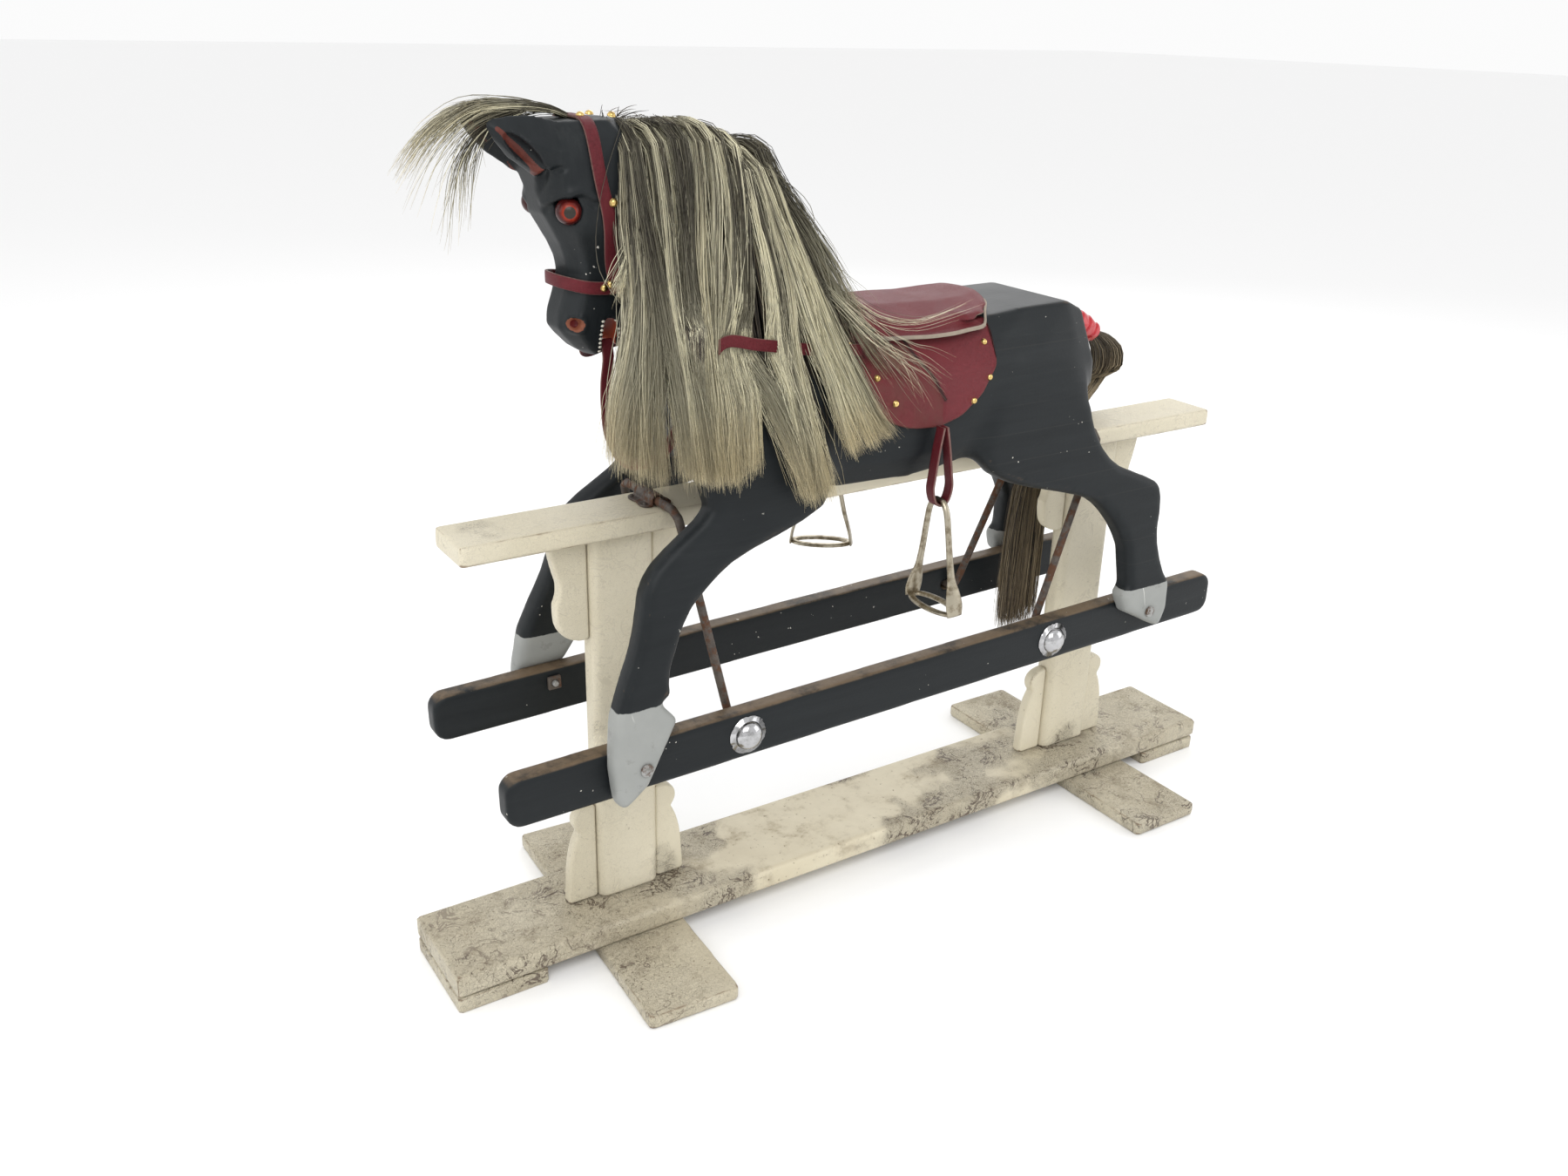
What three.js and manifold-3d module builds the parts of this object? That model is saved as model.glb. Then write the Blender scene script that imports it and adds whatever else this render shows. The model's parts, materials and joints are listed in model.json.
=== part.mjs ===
// Carved wooden rocking horse on a swing-iron ("safety") stand.
// Millimetres, +Z up. The horse looks towards -X and its left flank is at -Y.
// The origin is on the floor, under the middle of the base plank.

import * as THREE from 'three';
import { mergeVertices } from 'three/addons/utils/BufferGeometryUtils.js';
import Module from 'manifold-3d';

const wasm = await Module();
wasm.setup();

// ---------------------------------------------------------------- driving dimensions

const GAP = 0.3;                    // clearance between pieces that touch

// Stand
const PLANK = { length: 1300, width: 148, thick: 32 };
const FOOT = { length: 450, thick: 21, chamfer: 4 };
const FRONT_FOOT = { centre: -393, width: 123, skew: -0.05 };
const REAR_FOOT = { centre: 424, width: 123, skew: 0 };
const END_BLOCK_LENGTH = 119;
const POST = { thick: 36, height: 511, chamfer: 7 };
const FRONT_POST = { centre: -387, width: 85 };
const REAR_POST = { centre: 399, width: 91 };
const RAIL = { length: 1206, width: 82, thick: 25.6, centre: 6, chamfer: 3 };
const BRACKET_THICK = 18;

const plankTop = FOOT.thick + PLANK.thick;
const railBottom = plankTop + POST.height;
const railTop = railBottom + RAIL.thick;

// Swing irons
const IRON_RADIUS = 6;
const TOP_PIVOT_X = 342;            // the bearings stand this far each side of the middle
const ironAxisZ = railTop + IRON_RADIUS + GAP;
const IRON_TOP_HALF = 70;           // half width of the bar that lies across the rail
const IRON_LOW_HALF = 88;           // half width of the limbs where they turn out
const IRON_END = 129;               // the turned-out ends stop just inside the caps

// Horse frame: level with the runners. The horse hangs slightly nose down.
const HORSE_PITCH = 0.02;
const RUNNER = { length: 1154, centre: -18, inner: 103, outer: 131.2, low: 285.5, high: 348.5 };
const LOW_PIVOT_Z = 318;
const FRONT_LOW_PIVOT_X = -278;
const REAR_LOW_PIVOT_X = 231;
const LINK_SLOT = { halfLength: 12.5, halfHeight: 7.5 };

const LEG = { thick: 34, splay: 0.131, footZ: 300, chamfer: 7 };
const HOOF_BOLT = { shank: 4, head: 8.5, front: [-433, 331], rear: [394, 334] };
const CAP = { flange: 23, dome: 16, height: 13, plate: 1.6 };
const EYE = { radius: 15, x: -443, y: 45, z: 950 };

// ---------------------------------------------------------------- solids and meshes

function toSolid(geometry) {
  const bare = geometry.clone();
  bare.deleteAttribute('normal');
  bare.deleteAttribute('uv');
  const merged = mergeVertices(bare, 1e-4);
  return new wasm.Manifold(new wasm.Mesh({
    numProp: 3,
    vertProperties: new Float32Array(merged.attributes.position.array),
    triVerts: new Uint32Array(merged.index.array),
  }));
}

function toGeometry(solid) {
  const mesh = solid.getMesh();
  const geometry = new THREE.BufferGeometry();
  geometry.setAttribute('position', new THREE.BufferAttribute(new Float32Array(mesh.vertProperties), 3));
  geometry.setIndex(new THREE.BufferAttribute(new Uint32Array(mesh.triVerts), 1));
  const faceted = geometry.toNonIndexed();
  faceted.computeVertexNormals();
  return faceted;
}

// Cuts the tools away and keeps the main body, without any loose slivers.
function subtract(geometry, ...tools) {
  const solid = tools.reduce((rest, tool) => rest.subtract(toSolid(tool)), toSolid(geometry));
  const bodies = solid.decompose().sort((a, b) => b.volume() - a.volume());
  return toGeometry(bodies[0]);
}

function join(...pieces) {
  const [first, ...others] = pieces.map(toSolid);
  return toGeometry(others.reduce((whole, piece) => whole.add(piece), first));
}

function common(a, b) {
  return toGeometry(toSolid(a).intersect(toSolid(b)));
}

function box(x0, x1, y0, y1, z0, z1) {
  const geometry = new THREE.BoxGeometry(x1 - x0, y1 - y0, z1 - z0);
  return geometry.translate((x0 + x1) / 2, (y0 + y1) / 2, (z0 + z1) / 2);
}

// A shape drawn in (x, z), given thickness along Y about y = 0. A bevel is a plain chamfer.
// A chamfered board can be grown: its outline moves out by that much.
function board(shape, thick, bevel = 0, curveSegments = 6, grow = 0) {
  const geometry = new THREE.ExtrudeGeometry(shape, {
    depth: thick - 2 * bevel,
    bevelEnabled: bevel > 0,
    bevelThickness: bevel,
    bevelSize: bevel,
    bevelOffset: grow - bevel,
    bevelSegments: 1,
    curveSegments,
  });
  return geometry.translate(0, 0, bevel - thick / 2).rotateX(Math.PI / 2);
}

// A shape drawn in (x, y), given height along Z from z = 0.
function slab(shape, height, bevel = 0) {
  const geometry = new THREE.ExtrudeGeometry(shape, {
    depth: height - 2 * bevel,
    bevelEnabled: bevel > 0,
    bevelThickness: bevel,
    bevelSize: bevel,
    bevelOffset: -bevel,
    bevelSegments: 1,
    curveSegments: 8,
  });
  return geometry.translate(0, 0, bevel);
}

// A rod of round section along Y.
function rodAlongY(radius, y0, y1, x, z, sides = 16) {
  const geometry = new THREE.CylinderGeometry(radius, radius, Math.abs(y1 - y0), sides);
  return geometry.translate(x, (y0 + y1) / 2, z);
}

function outline(points) {
  return new THREE.Shape(points.map(([x, y]) => new THREE.Vector2(x, y)));
}

// A smooth closed or open curve through hand-set points, as a list of points.
function smooth(points, count) {
  const curve = new THREE.SplineCurve(points.map(([x, y]) => new THREE.Vector2(x, y)));
  return curve.getPoints(count).map((p) => [p.x, p.y]);
}

function chamferedRectangle(width, depth, chamfer) {
  const w = width / 2;
  const d = depth / 2;
  const c = chamfer;
  return outline([
    [-w + c, -d], [w - c, -d], [w, -d + c], [w, d - c],
    [w - c, d], [-w + c, d], [-w, d - c], [-w, -d + c],
  ]);
}

function roundedRectangle(width, height, radius) {
  const w = width / 2;
  const h = height / 2;
  const shape = new THREE.Shape();
  shape.moveTo(-w + radius, -h);
  shape.lineTo(w - radius, -h);
  shape.absarc(w - radius, -h + radius, radius, -Math.PI / 2, 0, false);
  shape.lineTo(w, h - radius);
  shape.absarc(w - radius, h - radius, radius, 0, Math.PI / 2, false);
  shape.lineTo(-w + radius, h);
  shape.absarc(-w + radius, h - radius, radius, Math.PI / 2, Math.PI, false);
  shape.lineTo(-w, -h + radius);
  shape.absarc(-w + radius, -h + radius, radius, Math.PI, 1.5 * Math.PI, false);
  return shape;
}

// A closed solid through rings of equal point count, capped at both ends.
function loft(rings) {
  const count = rings[0].length;
  const positions = rings.flat().flatMap((p) => [p.x, p.y, p.z]);
  const index = [];
  for (let ring = 0; ring < rings.length - 1; ring += 1) {
    for (let i = 0; i < count; i += 1) {
      const a = ring * count + i;
      const b = ring * count + (i + 1) % count;
      index.push(a, b, b + count, a, b + count, a + count);
    }
  }
  const capEnd = (ring, flip) => {
    const centre = rings[ring].reduce((sum, p) => sum.add(p), new THREE.Vector3()).divideScalar(count);
    const hub = positions.length / 3;
    positions.push(centre.x, centre.y, centre.z);
    for (let i = 0; i < count; i += 1) {
      const a = ring * count + i;
      const b = ring * count + (i + 1) % count;
      index.push(...(flip ? [hub, b, a] : [hub, a, b]));
    }
  };
  capEnd(0, true);
  capEnd(rings.length - 1, false);
  const geometry = new THREE.BufferGeometry();
  geometry.setAttribute('position', new THREE.Float32BufferAttribute(positions, 3));
  geometry.setIndex(index);
  return facingOut(geometry);
}

// Turns a closed mesh inside out if its faces point in.
function facingOut(geometry) {
  const p = geometry.attributes.position;
  const index = geometry.index.array;
  const [a, b, c] = [new THREE.Vector3(), new THREE.Vector3(), new THREE.Vector3()];
  let volume = 0;
  for (let i = 0; i < index.length; i += 3) {
    a.fromBufferAttribute(p, index[i]);
    b.fromBufferAttribute(p, index[i + 1]);
    c.fromBufferAttribute(p, index[i + 2]);
    volume += a.dot(b.cross(c));
  }
  if (volume < 0) {
    for (let i = 0; i < index.length; i += 3) {
      [index[i + 1], index[i + 2]] = [index[i + 2], index[i + 1]];
    }
  }
  geometry.computeVertexNormals();
  return geometry;
}

// A strap of rectangular section along a path. sideOf gives the direction of its width.
const Y_AXIS = new THREE.Vector3(0, 1, 0);
const widthAlongY = (along) => Y_AXIS.clone().addScaledVector(along, -along.y / along.lengthSq());
const flatAgainstSide = (along) => new THREE.Vector3().crossVectors(Y_AXIS, along);

function strap(path, width, thick, sideOf, steps) {
  const points = path.getSpacedPoints(steps);
  const last = points.length - 1;
  return loft(points.map((point, i) => {
    const along = new THREE.Vector3().subVectors(points[Math.min(i + 1, last)], points[Math.max(i - 1, 0)]);
    const side = sideOf(along).normalize();
    const up = new THREE.Vector3().crossVectors(along, side).normalize();
    return [[-1, -1], [1, -1], [1, 1], [-1, 1]].map(([s, u]) => point.clone()
      .addScaledVector(side, s * width / 2)
      .addScaledVector(up, u * thick / 2));
  }));
}

function mirrored(geometry) {
  const copy = (geometry.index ? geometry : mergeVertices(geometry, 1e-4)).clone();
  copy.scale(1, -1, 1);
  return facingOut(copy);
}

// ---------------------------------------------------------------- materials

const finish = (color, roughness, metalness = 0) => ({ color, roughness, metalness });
const CREAM = finish(0xd8cdae, 0.6);
const CHARCOAL = finish(0x23282c, 0.45);
const LEATHER = finish(0x6e1d26, 0.5);
const RUSTY_STEEL = finish(0x4a3a2c, 0.6, 0.7);
const CHROME = finish(0xc8c8c8, 0.15, 1);
const NICKEL = finish(0xb5ad98, 0.35, 1);
const HAIR = finish(0xb7aa86, 0.8);
const DARK_HAIR = finish(0x5a4a38, 0.8);
const RED_RIBBON = finish(0xb01020, 0.5);
const AMBER = finish(0xb03a10, 0.1);

function piece(name, geometry, look) {
  const mesh = new THREE.Mesh(geometry, new THREE.MeshStandardMaterial(look));
  mesh.name = name;
  return mesh;
}

// ---------------------------------------------------------------- stand

function basePlank() {
  const shape = outline([
    [-PLANK.length / 2, -PLANK.width / 2], [PLANK.length / 2, -PLANK.width / 2],
    [PLANK.length / 2, PLANK.width / 2], [-PLANK.length / 2, PLANK.width / 2],
  ]);
  return slab(shape, PLANK.thick - GAP, 3).translate(0, 0, FOOT.thick + GAP);
}

function crossFoot({ centre, width, skew }) {
  const foot = slab(chamferedRectangle(width, FOOT.length, FOOT.chamfer), FOOT.thick, 2);
  return foot.rotateZ(skew).translate(centre, 0, 0);
}

function endBlock(side) {
  const centre = side * (PLANK.length - END_BLOCK_LENGTH) / 2;
  const shape = chamferedRectangle(END_BLOCK_LENGTH, PLANK.width, 2);
  return slab(shape, FOOT.thick).translate(centre, 0, 0);
}

function post({ centre, width }) {
  const shape = chamferedRectangle(width, POST.thick, POST.chamfer);
  return slab(shape, POST.height - 2 * GAP).translate(centre, 0, plankTop + GAP);
}

// Scrolled brackets, drawn as (distance from the post, height).
function upperBracketShape() {
  const shape = new THREE.Shape();
  shape.moveTo(0, 0);
  shape.lineTo(0, -136);
  shape.lineTo(12, -136);
  shape.quadraticCurveTo(42, -130, 43, -100);
  shape.lineTo(43, -84);
  shape.quadraticCurveTo(36, -72, 38, -56);
  shape.quadraticCurveTo(46, -30, 50, 0);
  return shape;
}

function lowerBracketShape() {
  const shape = new THREE.Shape();
  shape.moveTo(0, 0);
  shape.lineTo(42, 0);
  shape.lineTo(39, 52);
  shape.quadraticCurveTo(35, 88, 24, 104);
  shape.quadraticCurveTo(35, 116, 30, 128);
  shape.quadraticCurveTo(24, 141, 0, 141);
  return shape;
}

function bracket(shape, { centre, width }, side, z) {
  const geometry = board(shape, BRACKET_THICK, 2);
  if (side < 0) {
    geometry.rotateZ(Math.PI);
  }
  return geometry.translate(centre + side * (width / 2 + GAP), 0, z);
}

function topRail() {
  const shape = chamferedRectangle(RAIL.length, RAIL.width, RAIL.chamfer);
  return slab(shape, RAIL.thick, 2).translate(RAIL.centre, 0, railBottom);
}

// ---------------------------------------------------------------- swing irons

// The place of a point of the horse frame once the horse hangs on its irons.
const horsePivot = new THREE.Vector3((FRONT_LOW_PIVOT_X + REAR_LOW_PIVOT_X) / 2, 0, LOW_PIVOT_Z);
function hung(x, z) {
  const offset = new THREE.Vector3(x, 0, z).sub(horsePivot);
  return offset.applyAxisAngle(new THREE.Vector3(0, 1, 0), -HORSE_PITCH).add(horsePivot);
}

// A U of round bar: across the rail, down both sides, then out through the runners.
function swingIron(topX, lowX) {
  const top = new THREE.Vector3(topX, 0, ironAxisZ);
  const low = hung(lowX, LOW_PIVOT_Z);
  const point = (y, share) => new THREE.Vector3().lerpVectors(top, low, share).setY(y);
  const bend = 0.05;
  const path = new THREE.CurvePath();
  const corners = [
    [-IRON_LOW_HALF, 1, [-IRON_LOW_HALF - 14, 1], [-IRON_LOW_HALF + 1, 1 - bend]],
    [-IRON_TOP_HALF, 0, [-IRON_TOP_HALF - 1, bend], [-IRON_TOP_HALF + 14, 0]],
    [IRON_TOP_HALF, 0, [IRON_TOP_HALF - 14, 0], [IRON_TOP_HALF + 1, bend]],
    [IRON_LOW_HALF, 1, [IRON_LOW_HALF - 1, 1 - bend], [IRON_LOW_HALF + 14, 1]],
  ];
  let from = point(-IRON_END, 1);
  for (const [y, share, before, after] of corners) {
    path.add(new THREE.LineCurve3(from, point(...before)));
    path.add(new THREE.QuadraticBezierCurve3(point(...before), point(y, share), point(...after)));
    from = point(...after);
  }
  path.add(new THREE.LineCurve3(from, point(IRON_END, 1)));
  const section = new THREE.Shape().absarc(0, 0, IRON_RADIUS, 0, 2 * Math.PI);
  return new THREE.ExtrudeGeometry(section, { steps: 54, curveSegments: 4, extrudePath: path, bevelEnabled: false });
}

// A scalloped cast plate, arched over the iron where it lies across the rail.
const BEARING = { length: 62, halfWidth: 26, plate: 3, bore: IRON_RADIUS + 0.35, wall: 2.8 };

function ironBearing(x) {
  const axis = IRON_RADIUS;
  const arch = BEARING.bore + BEARING.wall;
  const section = new THREE.Shape();
  section.moveTo(-BEARING.halfWidth, 0);
  section.lineTo(-BEARING.bore, 0);
  section.absarc(0, axis, BEARING.bore, Math.PI, 0, true);
  section.lineTo(BEARING.bore, 0);
  section.lineTo(BEARING.halfWidth, 0);
  section.lineTo(BEARING.halfWidth, BEARING.plate);
  section.lineTo(arch, BEARING.plate);
  section.absarc(0, axis, arch, 0, Math.PI, false);
  section.lineTo(-arch, BEARING.plate);
  section.lineTo(-BEARING.halfWidth, BEARING.plate);
  const rim = [];
  for (let i = 0; i < 32; i += 1) {
    const angle = i * Math.PI / 16;
    const reach = 1 + 0.16 * Math.cos(4 * angle + Math.PI);
    rim.push([0.86 * BEARING.halfWidth * reach * Math.cos(angle), 0.43 * BEARING.length * reach * Math.sin(angle)]);
  }
  const scalloped = slab(outline(rim), 40).translate(0, 0, -10);
  return common(board(section, BEARING.length, 0, 10), scalloped).translate(x, 0, railTop + GAP);
}

// ---------------------------------------------------------------- the carved horse

// Barrel sections from chest to rump, each an octagon across Y: two flats, two flanks, four chamfers.
const BARREL = [
  // x, top, half top, shoulder z, half side, flank z, half belly, belly z
  [-322, 752, 34, 714, 60, 680, 40, 656],
  [-288, 778, 50, 728, 86, 658, 62, 640],
  [-225, 790, 62, 734, 103, 645, 84, 622],
  [-140, 788, 70, 734, 111, 634, 96, 604],
  [-20, 782, 76, 732, 115, 630, 100, 599],
  [80, 783, 78, 732, 114, 632, 94, 604],
  [180, 789, 78, 730, 110, 646, 78, 624],
  [255, 789, 77, 726, 107, 662, 62, 645],
  [291, 773, 68, 710, 98, 668, 54, 656],
  [306, 742, 54, 702, 84, 674, 44, 664],
];

function barrel(grow = 0) {
  const last = BARREL.length - 1;
  return loft(BARREL.map(([x, top, halfTop, shoulder, halfSide, flank, halfBelly, belly], i) => {
    const shift = i === 0 ? -grow : i === last ? grow : 0;
    const at = (y, z) => new THREE.Vector3(x + shift, y, z);
    const corner = grow * 0.4;
    return [
      at(halfTop + corner, top + grow), at(halfSide + grow, shoulder + corner),
      at(halfSide + grow, flank - corner), at(halfBelly + corner, belly - grow),
      at(-halfBelly - corner, belly - grow), at(-halfSide - grow, flank - corner),
      at(-halfSide - grow, shoulder + corner), at(-halfTop - corner, top + grow),
    ];
  }));
}

// Neck sections between a throat point and a crest point.
const NECK = [
  // throat x, z, crest x, z, half width
  [-344, 735, -70, 742, 66],
  [-350, 770, -80, 782, 62],
  [-347, 810, -112, 830, 56],
  [-353, 850, -150, 884, 51],
  [-369, 890, -198, 942, 48],
  [-382, 914, -250, 986, 46],
  [-388, 926, -305, 1012, 45],
  [-396, 936, -350, 1018, 44],
];

function neckBlock(grow = 0) {
  return loft(NECK.map(([throatX, throatZ, crestX, crestZ, half]) => {
    const span = new THREE.Vector2(crestX - throatX, crestZ - throatZ);
    const unit = span.clone().normalize();
    const at = (share, y, out = 0) => new THREE.Vector3(
      throatX + span.x * share + unit.x * out,
      y,
      throatZ + span.y * share + unit.y * out,
    );
    const w = half + grow;
    return [
      at(0, 0.4 * w, -grow), at(0.1, w), at(0.62, w), at(1, 0.34 * w, grow),
      at(1, -0.34 * w, grow), at(0.62, -w), at(0.1, -w), at(0, -0.4 * w, -grow),
    ];
  }));
}

// Head sections from the lips up to the poll.
const HEAD = [
  // z, front x, back x, half width
  [789, -416, -376, 26],
  [797, -428, -370, 33],
  [812, -442, -368, 37],
  [822, -449, -367, 39],
  [838, -447, -366, 40],
  [857, -440, -366, 39],
  [880, -434, -366, 37],
  [895, -436, -364, 38],
  [911, -442, -360, 43],
  [926, -450, -356, 48],
  [946, -461, -350, 52],
  [975, -466, -348, 53],
  [1000, -472, -348, 51],
  [1024, -468, -356, 45],
  [1038, -452, -372, 34],
];

function headBlock(grow = 0, noseGrow = grow) {
  const last = HEAD.length - 1;
  return loft(HEAD.map(([z, front, back, half], i) => {
    const lift = i === 0 ? -grow : i === last ? grow : 0;
    const at = (x, y) => new THREE.Vector3(x, y, z + lift);
    const w = half + grow;
    const depth = back - front;
    return [
      at(front - noseGrow, 0.42 * w), at(front + 0.18 * depth, w), at(back - 0.2 * depth, w),
      at(back + grow, 0.5 * w), at(back + grow, -0.5 * w), at(back - 0.2 * depth, -w),
      at(front + 0.18 * depth, -w), at(front - noseGrow, -0.42 * w),
    ];
  }));
}

// One big forward-pointing ear, from inside the skull to its tip.
function ear(side) {
  const sections = [
    // x, low z, high z, inner y, outer y
    [-422, 985, 1030, 12, 42],
    [-440, 980, 1038, 13, 50],
    [-460, 980, 1044, 14, 53],
    [-480, 991, 1047, 17, 52],
    [-499, 1004, 1047, 21, 49],
    [-513, 1020, 1045, 27, 45],
    [-522, 1034, 1041, 33, 39],
  ];
  return loft(sections.map(([x, low, high, inner, outer]) => {
    const middle = (low + high) / 2;
    const at = (y, z) => new THREE.Vector3(x, side * y, z);
    const across = (share) => inner + (outer - inner) * share;
    return [
      at(inner, middle), at(across(0.25), low), at(across(0.8), low + 0.12 * (high - low)),
      at(outer, middle), at(across(0.5), high),
    ];
  }));
}

function earHollow(side) {
  return new THREE.SphereGeometry(1, 12, 10).scale(29, 11, 9)
    .rotateY(0.75)
    .translate(-487, side * 45, 1011);
}

const NOSTRIL = { radius: 7, x: -436, z: 829 };

function head() {
  const mouth = board(outline([
    [-406, 770], [-340, 770], [-340, 796], [-388, 799], [-386, 828], [-399, 832], [-404, 826],
  ]), 120);
  const nostril = rodAlongY(NOSTRIL.radius, -100, 100, NOSTRIL.x, NOSTRIL.z, 14);
  const nose = box(-600, -300, -27, 27, 780, 860);
  const socket = (side) => new THREE.SphereGeometry(EYE.radius + GAP, 14, 9)
    .translate(EYE.x, side * EYE.y, EYE.z);
  const skull = join(headBlock(), ear(-1), ear(1));
  return subtract(
    skull, mouth, subtract(nostril, nose), socket(-1), socket(1), earHollow(-1), earHollow(1),
  );
}

function eye(side) {
  return new THREE.SphereGeometry(EYE.radius - GAP, 14, 9).translate(EYE.x, side * EYE.y, EYE.z);
}

// Legs: outlines in (x, z), cut from board and set splayed.
function frontLegShape() {
  const front = smooth([
    [-336, 668], [-318, 622], [-346, 598], [-388, 570], [-410, 544], [-419, 510],
    [-430, 474], [-448, 436], [-464, 398],
  ], 15);
  const back = smooth([
    [-390, 410], [-389, 436], [-378, 462], [-358, 502], [-322, 533], [-286, 554],
    [-220, 573], [-160, 596], [-140, 640],
  ], 15);
  return outline([
    ...front, [-473, 340], [-470, 292], [-462, 285], [-430, 306], [-384, 378], [-404, 403],
    ...back, [-160, 694], [-200, 712], [-290, 712],
  ].reverse());
}

function hindLegShape() {
  const front = smooth([
    [96, 650], [76, 622], [92, 599], [118, 579], [156, 562], [198, 549], [250, 533],
    [286, 519], [312, 497], [336, 466], [350, 436],
  ], 16);
  const back = smooth([
    [428, 386], [417, 420], [414, 452], [420, 486], [418, 514], [406, 527], [374, 542],
    [334, 561], [308, 585], [288, 620], [281, 652], [274, 700],
  ], 16);
  return outline([
    ...front, [354, 380], [343, 368], [352, 340], [419, 302], [434, 328], [439, 368],
    ...back, [256, 722], [160, 722], [120, 704],
  ].reverse());
}

// A left leg's board, leaning in from the runner at foot height to the torso above it.
function splayedBoard(shape, grow = 0) {
  return board(shape, LEG.thick + 2 * grow, LEG.chamfer, 6, grow)
    .translate(0, 0, -LEG.footZ)
    .rotateX(-Math.atan(LEG.splay))
    .translate(0, -(RUNNER.outer + LEG.thick / 2), LEG.footZ);
}

function leg(shape, bolt, side) {
  const [boltX, boltZ] = bolt;
  const stood = splayedBoard(shape);
  const runnerSpace = box(-700, 700, -RUNNER.outer - GAP, -60, 0, RUNNER.high + GAP);
  const boltHole = rodAlongY(HOOF_BOLT.shank + GAP, -200, -100, boltX, boltZ);
  const headSeat = rodAlongY(HOOF_BOLT.head + GAP, -200, -160, boltX, boltZ);
  const drilled = subtract(stood, runnerSpace, boltHole, headSeat);
  return subtract(side < 0 ? drilled : mirrored(drilled), barrel(GAP));
}

function hoofBolt([x, z], side) {
  const profile = [
    [0, 0], [HOOF_BOLT.shank, 0], [HOOF_BOLT.shank, 66.5], [HOOF_BOLT.head, 66.5],
    [HOOF_BOLT.head, 69], [HOOF_BOLT.head - 1.5, 70.5], [0, 70.5],
  ].map(([r, y]) => new THREE.Vector2(r, y));
  const bolt = new THREE.LatheGeometry(profile, 16).translate(0, 93.5, 0);
  return (side < 0 ? bolt.rotateX(Math.PI) : bolt).translate(x, 0, z);
}

function squareNut([x, z], side) {
  const nut = box(x - 9, x + 9, -RUNNER.inner + GAP, -RUNNER.inner + 6, z - 9, z + 9);
  const bored = subtract(nut, rodAlongY(HOOF_BOLT.shank + GAP, -110, -90, x, z));
  return side < 0 ? bored : mirrored(bored);
}

function runner(side) {
  const height = RUNNER.high - RUNNER.low;
  const middle = (RUNNER.high + RUNNER.low) / 2;
  const thick = RUNNER.outer - RUNNER.inner;
  const bar = board(roundedRectangle(RUNNER.length, height, 20), thick, 3)
    .translate(RUNNER.centre, -RUNNER.inner - thick / 2, middle);
  const pivotHole = rodAlongY(IRON_RADIUS + 0.5, -200, -50, FRONT_LOW_PIVOT_X, LOW_PIVOT_Z, 14);
  const slot = roundedRectangle(2 * LINK_SLOT.halfLength, 2 * LINK_SLOT.halfHeight, LINK_SLOT.halfHeight - 0.1);
  const linkSlot = board(slot, 100).translate(REAR_LOW_PIVOT_X, -RUNNER.inner - thick / 2, LOW_PIVOT_Z);
  const boltHoles = [HOOF_BOLT.front, HOOF_BOLT.rear]
    .map(([x, z]) => rodAlongY(HOOF_BOLT.shank + GAP, -200, -50, x, z));
  const drilled = subtract(bar, pivotHole, linkSlot, ...boltHoles);
  return side < 0 ? drilled : mirrored(drilled);
}

// A pressed cap over each end of a swing iron.
function domeCap(x, side) {
  const profile = [[0, 0], [CAP.flange, 0], [CAP.flange, CAP.plate * 0.6], [CAP.dome + 1, CAP.plate]];
  for (let i = 0; i <= 4; i += 1) {
    const angle = i * Math.PI / 8;
    profile.push([CAP.dome * Math.cos(angle), CAP.plate + CAP.height * Math.sin(angle)]);
  }
  profile[profile.length - 1][0] = 0;
  const cap = new THREE.LatheGeometry(profile.map(([r, y]) => new THREE.Vector2(r, y)), 18);
  cap.translate(0, RUNNER.outer + GAP, 0);
  return (side < 0 ? cap.rotateX(Math.PI) : cap).translate(x, 0, LOW_PIVOT_Z);
}

// ---------------------------------------------------------------- saddle and stirrups

const FLAP = { x: -2, top: 781, bottom: 665, halfWidth: 110, thick: 4.2 };

function saddleFlap(side) {
  const shape = new THREE.Shape();
  shape.moveTo(FLAP.x - FLAP.halfWidth, FLAP.top);
  shape.bezierCurveTo(
    FLAP.x - FLAP.halfWidth, FLAP.top - 88, FLAP.x - 58, FLAP.bottom, FLAP.x + 8, FLAP.bottom,
  );
  shape.bezierCurveTo(
    FLAP.x + 66, FLAP.bottom, FLAP.x + FLAP.halfWidth + 4, FLAP.top - 62,
    FLAP.x + FLAP.halfWidth - 2, FLAP.top,
  );
  const plug = board(shape, 120, 0, 10).translate(0, side * 110, 0);
  return subtract(common(plug, barrel(FLAP.thick)), barrel(GAP));
}

const SEAT = { rim: 8, middle: 26 };   // thickness at the rim, and what the middle adds

// A padded seat arched over the back. Its rear rim stands up a little.
function saddleSeat() {
  const stations = [
    // x, crown z, half width, rim z
    [-114, 806, 46, 794],
    [-100, 812, 74, 778],
    [-60, 812, 94, 766],
    [0, 809, 105, 758],
    [55, 806, 107, 757],
    [98, 807, 99, 765],
    [126, 808, 76, 778],
    [143, 805, 42, 792],
  ];
  const seat = loft(stations.map(([x, crown, half, rim]) => {
    const arch = (share, drop) => new THREE.Vector3(
      x, share * half, rim + (crown - rim) * (1 - share ** 4) - drop,
    );
    const shares = [-1, -0.9, -0.75, -0.4, 0, 0.4, 0.75, 0.9, 1];
    const over = shares.map((share) => arch(share, 0));
    const under = shares.map((share) => arch(-share * 0.98, SEAT.rim + SEAT.middle * (1 - share * share)));
    return [...over, ...under];
  }));
  return subtract(seat, barrel(FLAP.thick + GAP), neckBlock(GAP));
}

const STIRRUP_X = 8;
const LOOP = { top: 668, low: 566, y: 130.5, width: 15, thick: 3.4, half: 15 };

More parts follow.
